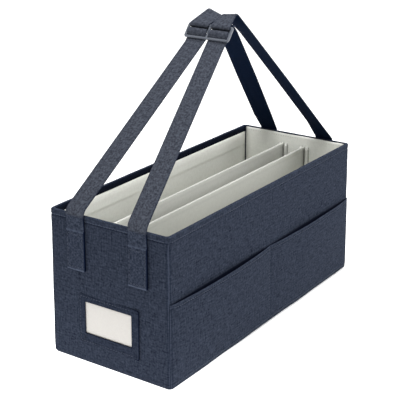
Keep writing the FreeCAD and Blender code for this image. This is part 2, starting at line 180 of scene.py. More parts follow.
for name, (place, size, watts) in LAMPS.items():
    lamp = add_object(name, bpy.data.lights.new(name, "AREA"))
    lamp.data.size = size
    lamp.data.energy = watts
    lamp.visible_camera = False
    lamp.location = place
    lamp.rotation_euler = (AIM - lamp.location).to_track_quat("-Z", "Y").to_euler()
world = bpy.data.worlds.new("studio")
world.use_nodes = True
world.node_tree.nodes["Background"].inputs["Color"].default_value = WHITE
world.node_tree.nodes["Background"].inputs["Strength"].default_value = WORLD_STRENGTH
bpy.context.scene.world = world
bpy.context.scene.view_settings.view_transform = "Standard"
print("lamps", {name: watts for name, (_, _, watts) in LAMPS.items()})

# %% [markdown]
# ## Building blocks of a finish
# In Blender a finish is a tree of shader nodes. It could be joined by hand in the editor, but a tree
# that is built in code can be built again with other numbers. Four helpers do what the finishes here
# need: noise with grains of a given size, a mix of two numbers, a mix of two colours, and a fine relief
# that only the light sees.

# %% Noise, mixes and grain
def noise(tree, uv, sizes, detail=2):
    """Noise whose grains have these sizes along u and v, in metres."""
    scale = (1 / sizes[0], 1 / sizes[1], 1)
    place = add(tree, "Mapping", {"Vector": uv, "Scale": scale})
    return add(tree, "TexNoise", {"Vector": place, "Scale": 1, "Detail": detail})


def average(tree, first, second, share):
    """Mix two numbers."""
    return add(tree, "Mix", {0: share, 2: first, 3: second}, data_type="FLOAT")


def blend(tree, share, first, second):
    """Mix two colours."""
    return add(tree, "Mix", {0: share, 6: first, 7: second}, 2, data_type="RGBA")


def raise_grain(tree, shader, height, strength, distance):
    """Bump mapping, which changes how the light falls and leaves the mesh as it is."""
    normal = add(tree, "Bump", {"Height": height, "Strength": strength, "Distance": distance})
    tree.links.new(normal, shader.inputs["Normal"])


print("shader helpers", [helper.__name__ for helper in (noise, average, blend, raise_grain)])

# %% [markdown]
# ## Cloth as a material
# The cover is a melange, woven of yarns that are never quite even. A picture of cloth could be wrapped
# on, but noise drawn out along the warp and the weft gives such yarns at any size and repeats nowhere.
# Every piece of cloth carries a UV map in metres, so a yarn is as thick on all of them. A third noise
# makes flecks and two crossed waves raise the weave. A number kept on the points, named tone, makes the
# colour paler above nought, mostly as painted highlights, and darker below it, mostly as painted shade.
# The lining and the webbing are made in the same way, with other colours and yarns.

# %% Woven cloth
HIGHLIGHT_GAIN = 2.2  # how much lighter the fullest painted highlight is than the cloth
HIGHLIGHT_LIMIT = 0.9
FLECK_SHARE = 0.4  # how much of the mottle is flecks
WEAVE_STRENGTH = 0.6
WAVE_TURNS = 20  # of a wave texture at scale 1, in 2 pi metres
NAVY_SHADE = (0.1, 0.26, 0.58)  # what is left of the dark yarn's red, green and blue in the deepest painted shade
GREY_SHADE = (0.3, 0.3, 0.3)


def woven(name, dark, light, deep, yarn, slub, speck, weave_height, contrast):
    """Woven cloth between two colours. yarn is the pitch of the threads, slub the length of an uneven bit and
    speck the size of the flecks where yarns cross."""
    material, tree, shader = new_material(name, roughness=0.9, specular=0.03, sheen=0.005)
    uv = add(tree, "UVMap", uv_map="cloth")
    warp = noise(tree, uv, (yarn * 2, slub))
    weft = noise(tree, uv, (slub, yarn * 2))
    yarns = average(tree, warp, weft, 0.5)
    mottle = average(tree, yarns, noise(tree, uv, (speck, speck), 1), FLECK_SHARE)
    limits = {"From Min": 0.5 - contrast, "From Max": 0.5 + contrast}
    share = add(tree, "MapRange", {"Value": mottle, **limits})
    colour = blend(tree, share, (*dark, 1), (*light, 1))
    # tone paints light: above nought a paler colour, mostly painted highlights; below nought a darker one,
    # mostly painted shade
    tone = add(tree, "Attribute", attribute_name="tone", output=2)
    worn = add(tree, "MapRange", {"Value": tone})
    worn_colour = (*[min(x * HIGHLIGHT_GAIN, HIGHLIGHT_LIMIT) for x in light], 1)
    colour = blend(tree, worn, colour, worn_colour)
    shade = add(tree, "MapRange", {"Value": tone, "From Min": 0, "From Max": -1})
    deep_colour = (*[x * left for x, left in zip(dark, deep)], 1)
    colour = blend(tree, shade, colour, deep_colour)
    tree.links.new(colour, shader.inputs["Base Color"])
    waves = {"Vector": uv, "Scale": 1 / (yarn * WAVE_TURNS) * math.tau}  # one turn to a yarn
    across = add(tree, "TexWave", waves, 1)
    along = add(tree, "TexWave", waves, 1, bands_direction="Y")
    weave = add(tree, "Math", {0: across, 1: along}, operation="MULTIPLY")
    raise_grain(tree, shader, average(tree, weave, mottle, 0.5), WEAVE_STRENGTH, weave_height)
    return material


STRAP_WEAVE = dict(deep=NAVY_SHADE, yarn=0.0013, slub=0.006, speck=0.0022, weave_height=0.0005, contrast=0.10)
CLOTHS = {
    "cover_cloth": dict(
        dark=(0.008, 0.0112, 0.0203), light=(0.0335, 0.0418, 0.063), deep=NAVY_SHADE,
        yarn=0.0009, slub=0.011, speck=0.0024, weave_height=0.0003, contrast=0.14,
    ),
    "lining_cloth": dict(
        dark=(0.75, 0.757, 0.703), light=(0.83, 0.837, 0.783), deep=GREY_SHADE,
        yarn=0.0005, slub=0.006, speck=0.004, weave_height=0.00008, contrast=0.16,
    ),
    "webbing": dict(dark=(0.0265, 0.0298, 0.04), light=(0.065, 0.0727, 0.0925), **STRAP_WEAVE),
    # the same webbing on the tabs, painted darker and bluer as shade on their upright faces
    "tab_webbing": dict(dark=(0.0135, 0.018, 0.030), light=(0.040, 0.049, 0.072), **STRAP_WEAVE),
}
cloths = {name: woven(name, **cloth) for name, cloth in CLOTHS.items()}
print("cloths", list(cloths))

# %% [markdown]
# ## Thread, plastic, paper and board
# The small finishes are sewing thread, the slider's satin plastic, the card's paper and the grey board in
# the walls. Each could have a shader of its own, but at this size only a fine grain, two colours and the
# shine can be told apart, so one shader with grains in object space serves them all. The boards and the
# slider are hard and square, so the CAD nodes are shown as they are, with these finishes.

# %% Small finishes
GRAIN_DETAIL = 3
GRAIN_STRENGTH = 0.3


def speckled(name, dark, light, grain, roughness, height, specular):
    """A finish of fine grains, for things with no cloth UV map."""
    material, tree, shader = new_material(name, roughness, specular)
    place = add(tree, "TexCoord", output=3)
    grains = add(tree, "TexNoise", {"Vector": place, "Scale": 1 / grain, "Detail": GRAIN_DETAIL})
    tree.links.new(blend(tree, grains, (*dark, 1), (*light, 1)), shader.inputs["Base Color"])
    raise_grain(tree, shader, grains, GRAIN_STRENGTH, height)
    return material


FINISHES = {  # two colours, size of a grain, roughness, height of a grain, specular
    "dark_thread": ((0.030, 0.037, 0.055), (0.052, 0.063, 0.091), 0.0004, 0.7, 0.0001, 0.2),
    "pale_thread": ((0.36, 0.36, 0.33), (0.55, 0.55, 0.50), 0.0004, 0.7, 0.0001, 0.2),
    "slider_plastic": ((0.068, 0.077, 0.097), (0.095, 0.106, 0.13), 0.0012, 0.3, 0.00003, 0.5),
    "card_paper": ((0.44, 0.425, 0.402), (0.50, 0.483, 0.458), 0.0015, 0.8, 0.00003, 0.2),
    "grey_board": ((0.34, 0.33, 0.31), (0.46, 0.45, 0.42), 0.001, 0.9, 0.0001, 0.2),
}
dark_thread, pale_thread, slider_plastic, card_paper, grey_board = (
    speckled(name, *finish) for name, finish in FINISHES.items()
)
NODE_FINISHES = {  # by the last word of a node's name
    "board": (grey_board, "greyboard"),
    "core": (grey_board, "greyboard"),
    "slider": (slider_plastic, "slider_plastic"),
}
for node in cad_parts:
    finish, slot = NODE_FINISHES.get(node.split("_")[-1], (None, None))
    if finish:
        shown = bpy.data.objects[node]
        shown.data.materials.clear()
        shown.data.materials.append(finish)
print("finishes", list(FINISHES))

# %% [markdown]
# ## Places on the walls
# A wall is a board with cloth on both faces. Its pieces could be drawn flat and turned into place, but
# then they wouldn't meet round the corners. So all four walls share one way of placing a point: how far
# along the wall, how deep below its outer surface, and how high. Past the straight part the place runs
# round the corner of the box, and a panel ends at the seam in the middle of the corner.

# %% Places on the walls
MM = 0.001
HALF_LENGTH = -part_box("left_end_cover")[0][0]
HALF_WIDTH = -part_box("front_cover")[0][1]
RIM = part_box("front_cover")[1][2]  # its height
WALL = HALF_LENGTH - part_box("right_channel_ribs")[1][0]  # its thickness
CORNER = 5 * MM
INNER_CORNER = 3.5 * MM  # the doubled cloth rounds the corners inside the rim
FLARE = 2 * MM  # how far the walls lean out at their foot
X, Y, UP = np.eye(3)
WALLS = {  # along, outwards, half the length, distance from the middle
    "front": (X, -Y, HALF_LENGTH, HALF_WIDTH),
    "back": (-X, Y, HALF_LENGTH, HALF_WIDTH),
    "left_end": (-Y, -X, HALF_WIDTH, HALF_LENGTH),
    "right_end": (Y, X, HALF_WIDTH, HALF_LENGTH),
}


def panel_reach(wall):
    """From the middle of a wall to the seam in the middle of its corner, along the cloth."""
    return WALLS[wall][2] - CORNER + CORNER * math.pi / 4


def flare(height):
    """How far the walls lean out at a height."""
    return FLARE * np.clip(1 - height / RIM, 0, 1)


def wall_points(wall, run, out, height):
    """Points from a run along a wall, a distance out from the middle of the box, and a height."""
    along, outward, _, _ = WALLS[wall]
    return sum(np.multiply.outer(size, axis) for size, axis in ((run, along), (out, outward), (height, UP)))


def on_wall(wall, along, inset, height):
    """Points on a wall, from numbers or arrays."""
    _, _, half, distance = WALLS[wall]
    straight = half - CORNER
    turn = np.maximum(np.abs(along) - straight, 0) / CORNER
    radius = np.maximum(CORNER - inset, INNER_CORNER)
    lean = flare(height)
    run = np.minimum(np.abs(along), straight) / straight * (half - inset - radius) + radius * np.sin(turn)
    run = run * np.sign(along) + lean * along / panel_reach(wall)
    out = distance - inset - radius + radius * np.cos(turn) + lean
    return wall_points(wall, run, out, height)


print("walls", {name: round(panel_reach(name) * 2, 4) for name in WALLS})

# %% [markdown]
# ## Grids of points
# A sheet of cloth is drawn here as a grid of points. Its faces could be listed one by one, but they
# follow from the order of the points. Its UV map follows from lengths along the cloth, so the weave
# isn't stretched where the cloth bends.

# %% Grids of points
def grid_faces(rows, columns):
    """The quads of a grid, facing the side from which its rows go up and its columns go right."""
    index = np.arange(rows * columns).reshape(rows, columns)
    quads = (index[:-1, :-1], index[:-1, 1:], index[1:, 1:], index[1:, :-1])
    return np.stack(quads, -1).reshape(-1, 4).tolist()


def lengths(points):
    """How far along a line each of its points lies."""
    return np.concatenate(([0], np.cumsum(np.linalg.norm(np.diff(points, axis=0), axis=1))))


def lay_out(profile, along):
    """Draw a profile of cloth out along a line. Gives its two columns and the line as grids, the UV map and
    the length of the profile."""
    length = lengths(profile)
    first, second, across = np.broadcast_arrays(profile[:, :1], profile[:, 1:], along)
    uv = np.stack(np.broadcast_arrays(along, length[:, None]), -1)
    return first, second, across, uv, length[-1]


print("a grid of 3 by 4 points has", len(grid_faces(3, 4)), "faces")

# %% [markdown]
# ## From points to cloth
# A cut of cloth has a weave, a thickness and a place on the object. The thickness could be drawn as a
# second grid, but a Solidify modifier makes it behind the drawn face from one number. Each piece says
# which body it rides on, and most say which CAD node they stand for.

# %% Pieces of cloth
def make_piece(name, points, faces, material, body, uv=None, tone=None):
    """A smooth mesh from points, with its cloth UV map and tone, riding on a body."""
    mesh = bpy.data.meshes.new(name)
    mesh.from_pydata(points.reshape(-1, 3).tolist(), [], faces)
    mesh.polygons.foreach_set("use_smooth", [True] * len(mesh.polygons))
    if uv is not None:
        corners = np.zeros(len(mesh.loops), int)
        mesh.loops.foreach_get("vertex_index", corners)
        mesh.uv_layers.new(name="cloth").data.foreach_set("uv", uv.reshape(-1, 2)[corners].ravel())
    if tone is not None:
        mesh.attributes.new("tone", "FLOAT", "POINT").data.foreach_set("value", tone.ravel())
    mesh.materials.append(material)
    piece = add_object(name, mesh)
    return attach(piece, body)


def thicken(piece, thickness):
    """Give a sheet its thickness, behind the surface that was drawn."""
    layer = piece.modifiers.new("thickness", "SOLIDIFY")
    layer.thickness = thickness
    layer.offset = -1
    return piece


def cloth_sheet(name, node, points, cloth, uv, tone, thickness, faces=None, body="box", **cut):
    """A sheet in place of a CAD node. cloth is also its material slot. cut is its flat size, how it is held
    and what it rests on, and is not used."""
    faces = faces or grid_faces(*points.shape[:2])
    sheet = make_piece(name, points, faces, cloths[cloth], body, uv, tone)
    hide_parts(node)
    return thicken(sheet, thickness)


print("sheets are made by", cloth_sheet.__name__, "and thickened by", thicken.__name__)

# %% [markdown]
# ## Unevenness
# Taut cloth is never flat: it ripples, dips at its stitches and swells over what is folded under it. A
# displacement texture could do that, but stitches, seams and tone have to follow the same relief, so it
# is worked out as numbers. Waves at chance angles make ripples, a bell curve makes a dip or a ridge, and
# a smooth step makes a fold. Rows of points lie close together only where the relief needs them.

# %% Relief
RIPPLE_WAVES = 7


def spread(start, *stops):
    """Rising numbers from a start through (end, step) pairs, each stretch divided evenly."""
    values = [start]
    for end, step in stops:
        count = max(1, math.ceil((end - values[-1]) / step - 1e-6))
        values += list(np.linspace(values[-1], end, count + 1)[1:])
    return np.array(values)


def ripples(first, second, seed, height, shortest, longest):
    """Gentle unevenness over two coordinates, in waves between two lengths, the same at each run."""
    chance = np.random.default_rng(seed)
    total = np.zeros(np.broadcast(first, second).shape)
    for _ in range(RIPPLE_WAVES):
        angle, phase = chance.uniform(0, math.tau, 2)
        length = chance.uniform(shortest, longest)
        total += np.sin((first * math.cos(angle) + second * math.sin(angle)) * math.tau / length + phase)
    return total * height / math.sqrt(RIPPLE_WAVES)


def bump(values, middle, width):
    """A soft bump of height one."""
    return np.exp(-(((values - middle) / width) ** 2))


def bumps(values, rows):
    """Soft bumps and dips, from rows of height, middle and width."""
    return sum(height * bump(values, middle, width) for height, middle, width in rows)


def rise(values, start, end):
    """A smooth step from nought to one."""
    share = np.clip((values - start) / (end - start), 0, 1)
    return share * share * (3 - 2 * share)


print("12 mm in even steps of at most 5 mm:", spread(0, (12, 5)).tolist())

# %% [markdown]
# ## The cover panels
# The cover is five cuts of dark cloth, sewn together and pulled over the boards. A cloth simulation could
# pull it tight, but what shows on taut cloth is its seams, so each panel is drawn as one strip that
# starts at the seam round the base, climbs the wall, rounds the rim and turns down inside. The long
# panels turn in by a hem, the end panels barely. Folded cloth is double down to the stitch line, so it
# swells there and pulls in at the stitches. At the corners the seam allowance stands up a little, with
# a painted highlight on it and painted shade beside it.

# %% Shape of a cover panel
BASE_EDGE = 4.2 * MM
OUTER_ROUND = 1.4 * MM
INNER_ROUND = 1.1 * MM
ALMOST = 0.999  # the turn inside the rim ends just short of upright
HEM = {"front": 8 * MM, "back": 8 * MM, "left_end": 1.4 * MM, "right_end": 1.4 * MM}
RIM_STITCH = RIM - 6.2 * MM
POCKET_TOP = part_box("pocket_panel")[1][2]
COVER_RIPPLE = (0.22 * MM, 0.03, 0.11)  # height, shortest and longest wave
COVER_SEEDS = dict(zip(WALLS, range(4)))
HEM_SWELL = 0.30 * MM
HEM_STEP = (RIM_STITCH - 0.3 * MM, RIM_STITCH + 1.2 * MM)  # heights between which the hem swells
STITCH_DIP = 0.30 * MM
STITCH_GROOVE = (RIM_STITCH - 0.5 * MM, 0.8 * MM)  # height and width of the dip
WELT = (  # height, distance from the seam and width, of a ridge and of the groove beside it
    (0.35 * MM, 0.3 * MM, 0.7 * MM),
    (-0.20 * MM, 1.8 * MM, 0.9 * MM),
)
WELT_BELOW_RIM = (3 * MM, 10 * MM)  # the welt grows between these distances from the rim,
WELT_ABOVE_FOOT = (1 * MM, 10 * MM)  # and between these from the foot
FOOT_ROWS = (12 * MM, 3 * MM)  # close rows at the foot: the height where they end, and their step
MOUTH_ZONE = 3 * MM  # to either side of the pocket's mouth
STITCH_ZONE = (10 * MM, 4.5 * MM)  # below the rim
WALL_STEP, MOUTH_STEP, STITCH_STEP, RIM_STEP = 11 * MM, 1.2 * MM, 0.5 * MM, 1.2 * MM  # between rows


def base_round(start, end):
    """Inset and height of five points round the lower edge, between two angles."""
    turn = np.linspace(start, end, 5)
    return [(BASE_EDGE * (1 - math.cos(t)), BASE_EDGE * (1 - math.sin(t))) for t in turn]


def wall_profile(hem):
    """Inset and height of the points up one wall, over its rim and down inside."""
    heights = spread(
        BASE_EDGE, FOOT_ROWS, (POCKET_TOP - MOUTH_ZONE, WALL_STEP), (POCKET_TOP + MOUTH_ZONE, MOUTH_STEP),
        (RIM - STITCH_ZONE[0], WALL_STEP), (RIM - STITCH_ZONE[1], STITCH_STEP),
        (RIM - OUTER_ROUND, RIM_STEP),
    )
    profile = base_round(math.pi / 4, 0) + [(0, z) for z in heights[1:]]
    turn = np.linspace(0, math.pi / 2, 6)[1:]
    profile += [(OUTER_ROUND * (1 - math.cos(t)), RIM - OUTER_ROUND * (1 - math.sin(t))) for t in turn]
    middle = WALL - INNER_ROUND
    turn = turn * ALMOST
    profile += [(middle + INNER_ROUND * math.sin(t), RIM - INNER_ROUND * (1 - math.cos(t))) for t in turn]
    return np.array(profile + [(WALL, RIM - hem)])


def welt_share(height):
    """The corner seam lies flat under the rim and at the foot."""
    return rise(RIM - height, *WELT_BELOW_RIM) * rise(height, *WELT_ABOVE_FOOT)


def cover_relief(wall, along, height):
    """How far the cloth of a wall stands above the flat panel."""
    relief = ripples(along, height, COVER_SEEDS[wall], *COVER_RIPPLE)
    relief += HEM_SWELL * rise(height, *HEM_STEP)
    relief -= STITCH_DIP * bump(height, *STITCH_GROOVE)
    return relief + bumps(panel_reach(wall) - np.abs(along), WELT) * welt_share(height)


print("rows up a long panel", len(wall_profile(HEM["front"])))

# %% [markdown]
# ## The cover, panel by panel
# The shape is now drawn out along each wall, with close columns at the corner seams, where the welt
# stands. One panel could be made and copied, but the walls differ in length and hem, and no two cloths
# ripple alike, so each panel is drawn for itself. The tone is painted light and shade: highlights on the
# welts, the rim and above its stitches; shade beside the seams, inside the pocket and on the hem inside.

# %% Cover panels on the walls
COVER_THICKNESS = 0.7 * MM
WELT_TONE = ((0.36, 0.3 * MM, 0.6 * MM), (-0.25, 1.8 * MM, 0.8 * MM))  # painted highlight on a welt and painted shade in its groove: strength, middle and width
# painted highlight just above the rim's stitches and painted shadow just below them
HEM_TONE = ((0.32, RIM_STITCH + 0.4 * MM, 0.6 * MM), (-0.6, RIM_STITCH - 0.9 * MM, 0.7 * MM))
LONG_HEM_TONE = 0.3  # what is left of it on the long sides
# painted highlight along the top of the rim
RIM_HIGHLIGHT_TONE = 0.10
RIM_HIGHLIGHT_REACH = 1.6 * MM  # how far down from the rim the painted highlight reaches
RIM_START = 0.2 * MM  # depth at which the cloth begins to turn over the rim
POCKET_SHADE = 0.95
# painted shade on the hem inside the rim
HEM_SHADE = 0.8
HEM_SHADE_EDGE = 0.8 * MM  # depth over which that painted shade comes in
COLUMN_ZONES = (3 * MM, 8 * MM)  # from a corner seam
COLUMN_STEPS = (0.5 * MM, 1.25 * MM, 7.5 * MM)  # in those zones, and between them


def cover_panel(wall):
    reach = panel_reach(wall)
    near, far = COLUMN_ZONES
    fine, medium, coarse = COLUMN_STEPS
    along = spread(
        -reach, (near - reach, fine), (far - reach, medium), (reach - far, coarse), (reach - near, medium),
        (reach, fine),
    )
    inset, height, across, uv, length = lay_out(wall_profile(HEM[wall]), along)
    outside = 1 - rise(inset, RIM_START, OUTER_ROUND)
    points = on_wall(wall, across, inset - cover_relief(wall, across, height) * outside, height)
    # painted highlight along each corner welt and painted shade in the groove beside it
    tone = bumps(reach - np.abs(across), WELT_TONE) * (outside * welt_share(height))
    # painted highlight along the top of the rim
    tone += RIM_HIGHLIGHT_TONE * bump(height, RIM, RIM_HIGHLIGHT_REACH) * rise(inset, 0, MM)
    # painted highlight and shadow at the rim's stitches, weaker on the long sides
    tone += bumps(height, HEM_TONE) * outside * (1 if wall.endswith("end") else LONG_HEM_TONE)
    if wall == "front":  # inside the pocket the wall is painted dark, as shade
        tone -= POCKET_SHADE * (1 - rise(height, POCKET_TOP - MM, POCKET_TOP + MM)) * outside
    # painted shade on the hem inside the rim
    tone -= HEM_SHADE * rise(inset, WALL - HEM_SHADE_EDGE, WALL)
    return cloth_sheet(
        wall + "_cover_cloth", wall + "_cover", points, "cover_cloth", uv, tone, COVER_THICKNESS,
        flat=(2 * reach, length), held="stretched", rests_on=[wall + "_board"],
    )


covers = [cover_panel(wall) for wall in WALLS]
print("cover panels", {panel.name: len(panel.data.polygons) for panel in covers})

# %% [markdown]
# ## The base of the cover
# The fifth panel closes the cover underneath. It could be a plain rectangle, but it has to meet the
# walls round the same corners, so it is made of rings of their outline, from the seam to the underside.
# It is dark at the seam.

# %% Base panel
BASE_SEAM_TONE = -0.5


def base_panel():
    """Rings of the same outline as the walls, from the seam to the underside, which one face closes."""
    rings = []
    for inset, height in base_round(math.pi / 4, math.pi / 2):
        outline = []
        for wall in ("front", "right_end", "back", "left_end"):
            end = WALLS[wall][2] - CORNER
            bend = np.linspace(end, panel_reach(wall), 5)
            along = np.concatenate((-bend[::-1], np.linspace(-end, end, 13)[1:], bend[1:-1]))
            outline.append(on_wall(wall, along, inset, height))
        rings.append(np.concatenate(outline))
    points = np.array(rings)[::-1]
    points = np.concatenate((points, points[:, :1]), 1)
    faces = grid_faces(*points.shape[:2]) + [list(range(points.shape[1] - 1))[::-1]]
    tone = np.zeros(points.shape[:2])
    tone[-1] = BASE_SEAM_TONE
    return cloth_sheet(
        "base_cover_cloth", "base_cover", points, "cover_cloth", points[..., :2], tone, COVER_THICKNESS,
        faces, flat=(2 * HALF_LENGTH, 2 * HALF_WIDTH), held="stretched", rests_on=["base_board"],
    )


base = base_panel()
print("base panel", len(base.data.polygons), "faces")

# %% [markdown]
# ## The lining
# The lining is pale cloth over the inner faces of the boards. It could be the inside of the cover's own
# mesh, but it is a separate cut with its own slackness, so it has panels of its own. They face inwards,
# so their columns run the other way. On the long walls the lining goes in under the hem and has a soft
# ridge some way below it. On the ends it goes up almost to the rim.

# %% Lining panels
LINING_THICKNESS = 0.6 * MM
LINING_RIPPLE = (0.18 * MM, 0.04, 0.16)
LINING_SEEDS = dict(zip(WALLS, range(20, 24)))
LINING_EDGE_TONE = 0.08
RIDGE_HEIGHT = 148 * MM
RIDGE_STEP = 0.8 * MM
RIDGE_SLOPE = 1.6 * MM  # to either side of its middle
RIDGE_ZONE = 6 * MM
LINING_ROWS = (16 * MM, 1.5 * MM, 3 * MM)  # steps below the ridge, across it and above it
LINING_COLUMNS = 9 * MM
HEM_TUCK = (1.1 * MM, 6 * MM)  # how deep the lining goes in under the hem, and over what height
RIM_TUCK = (0.5 * MM, 1 * MM)  # depth and width of the dip at the stitches of an end
LINING_LINE = RIM_STITCH + 0.8 * MM  # the height of those stitches
END_LAP = 0.2 * MM  # how far the lining of an end laps over the turned cover
CORNER_CALM = 4 * MM  # the relief dies out this near to a corner
FLOOR_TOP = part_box("floor_lining")[1][2]
INSIDE_GAP = 0.65 * MM  # from a lining panel to the inner corner


def lining_panel(wall):
    _, _, half, distance = WALLS[wall]
    half = half - WALL - INSIDE_GAP
    long_wall = wall in ("front", "back")
    top = RIM - HEM[wall] + (0 if long_wall else END_LAP)
    ends = (RIDGE_HEIGHT - RIDGE_ZONE, RIDGE_HEIGHT + RIDGE_ZONE, top)
    height = spread(FLOOR_TOP, *zip(ends, LINING_ROWS))
    height, across = np.broadcast_arrays(height[:, None], spread(-half, (half, LINING_COLUMNS))[::-1])
    relief = ripples(across, height, LINING_SEEDS[wall], *LINING_RIPPLE)
    tone = np.zeros(across.shape)
    if long_wall:
        relief += RIDGE_STEP * rise(height, RIDGE_HEIGHT - RIDGE_SLOPE, RIDGE_HEIGHT + RIDGE_SLOPE)
        relief -= HEM_TUCK[0] * rise(height, top - HEM_TUCK[1], top)
    else:
        relief -= RIM_TUCK[0] * bump(height, LINING_LINE, RIM_TUCK[1])
        tone += LINING_EDGE_TONE * rise(height, LINING_LINE, LINING_LINE + MM)
    relief *= rise(half - np.abs(across), 0, CORNER_CALM)
    points = wall_points(wall, across, distance - WALL - relief, height)
    uv = np.stack((across, height), -1)
    return cloth_sheet(
        wall + "_lining_cloth", wall + "_lining", points, "lining_cloth", uv, tone, LINING_THICKNESS,
        flat=(2 * half, top - FLOOR_TOP), held="stretched", rests_on=[wall + "_board"],
    )


linings = [lining_panel(wall) for wall in WALLS]
print("lining", {panel.name: len(panel.data.polygons) for panel in linings})

# %% [markdown]
# ## The floor of the lining
# The last cut of pale cloth lies on the base board. A single face would do from afar, but cloth that is
# only laid down sags a little and ripples, so this is a grid as well. It ends just short of the walls.

# %% Floor of the lining
FLOOR_THICKNESS = 0.4 * MM
FLOOR_RIPPLE = (0.1 * MM, 0.05, 0.2)
FLOOR_SEED = 31
FLOOR_SAG = 0.25 * MM
FLOOR_GAP = 0.3 * MM
FLOOR_GRID = 12 * MM


def floor_panel():
    reach_x, reach_y = HALF_LENGTH - WALL - FLOOR_GAP, HALF_WIDTH - WALL - FLOOR_GAP
    y = spread(-reach_y, (reach_y, FLOOR_GRID))
    y, x = np.broadcast_arrays(y[:, None], spread(-reach_x, (reach_x, FLOOR_GRID)))
    sag = ripples(x, y, FLOOR_SEED, *FLOOR_RIPPLE) - FLOOR_SAG
    points = np.stack((x, y, FLOOR_TOP + np.minimum(sag, 0)), -1)
    return cloth_sheet(
        "floor_lining_cloth", "floor_lining", points, "lining_cloth", points[..., :2], np.zeros(x.shape),
        FLOOR_THICKNESS, flat=(2 * reach_x, 2 * reach_y), held="laid", rests_on=["base_board"],
    )


lining_floor = floor_panel()
print("floor of the lining", len(lining_floor.data.polygons), "faces")

# %% [markdown]
# ## The corner tapes
# Where two lining panels meet, a tape of the dark cloth joins the walls, and a thin line of it shows. A
# dark line could be painted on the lining, but it would show no hollow. So each tape is a sheet of its
# own: a quarter round that shows in the corner, and two wings that lie behind the lining.

# %% Corner tapes
TAPE_ROUND = 0.95 * MM
TAPE_BACK = 0.65 * MM  # how far the wings lie behind the face of the lining
TAPE_STEP = 0.7 * MM
TAPE_WING = 4.3 * MM
TAPE_THICKNESS = 0.4 * MM
TAPE_BELOW_RIM = 2 * MM
TAPE_ROWS = 20 * MM
TAPE_TONE = -0.2


def corner_tape(x_side, y_side):
    turn = np.linspace(0, math.pi / 2, 5)
    corner = np.array((HALF_LENGTH - WALL, HALF_WIDTH - WALL))
    inner = -TAPE_ROUND - TAPE_STEP
    wing = np.array([(TAPE_BACK, inner - TAPE_WING), (TAPE_BACK, inner)])
    hollow = [(TAPE_ROUND * (math.cos(t) - 1), TAPE_ROUND * (math.sin(t) - 1)) for t in turn]
    outline = (corner + np.concatenate((wing, hollow, wing[::-1, ::-1]))) * (x_side, y_side)
    if x_side * y_side > 0:
        outline = outline[::-1]
    heights = spread(FLOOR_TOP, (RIM - TAPE_BELOW_RIM, TAPE_ROWS))
    points = np.array([[(x, y, z) for x, y in outline] for z in heights])
    length = lengths(outline)
    uv = np.stack(np.broadcast_arrays(length, heights[:, None]), -1)
    tone = np.full(points.shape[:2], TAPE_TONE)
    name = ("right" if x_side > 0 else "left") + ("_back" if y_side > 0 else "_front") + "_corner_hinge"
    faces = grid_faces(*points.shape[:2])
    tape = make_piece(name, points, faces, cloths["cover_cloth"], "box", uv, tone)
    return thicken(tape, TAPE_THICKNESS)


tapes = [corner_tape(x_side, y_side) for x_side in (-1, 1) for y_side in (-1, 1)]
print("corner tapes", [tape.name for tape in tapes])

# %% [markdown]
# ## The dividers
# A divider is a board in a sleeve of lining cloth. A plain block with rounded edges would nearly do, but
# a sleeve has soft faces and a thin folded top. Its cloth goes up one face, over the top edge and down
# the other. The ends are closed, so the grid narrows there, and they are darker, because they stand in
# the shade of their channels.

# %% Dividers
SLEEVE_THICKNESS = 0.35 * MM
SLEEVE_RIPPLE = (0.10 * MM, 0.05, 0.15)
SLEEVE_SLACK = 0.15 * MM
# the whole sleeve is painted darker than the lining on the walls, as shade
SLEEVE_TONE = -0.30
TOP_SHADE, SEAM_SHADE, END_SHADE = 0.06, 0.10, 0.75
TOP_SHADE_WIDTH = 2.2 * MM
TOP_SEAM = (6.2 * MM, 1.2 * MM)  # distance below the top edge, and width
END_SHADOW = (2.5 * MM, 5.5 * MM)  # distances from an end between which its shade fades
LIT_TOP = (0.5 * MM, 4 * MM)  # and from the top edge, which is out of the shade
TOP_CALM, END_CALM = (1 * MM, 10 * MM), (2 * MM, 20 * MM)  # where the ripples grow, from the edges
TOP_ZONE, END_ZONE = 12 * MM, 4 * MM
SLEEVE_ROWS = (22 * MM, 2.2 * MM)  # steps on the faces and near the top
SLEEVE_COLUMNS = (9 * MM, 0.8 * MM)  # and along them and near the ends
LEAST_END = 0.02  # the ends close all but a little
SLEEVE_SEEDS = {"front": 41, "back": 42}


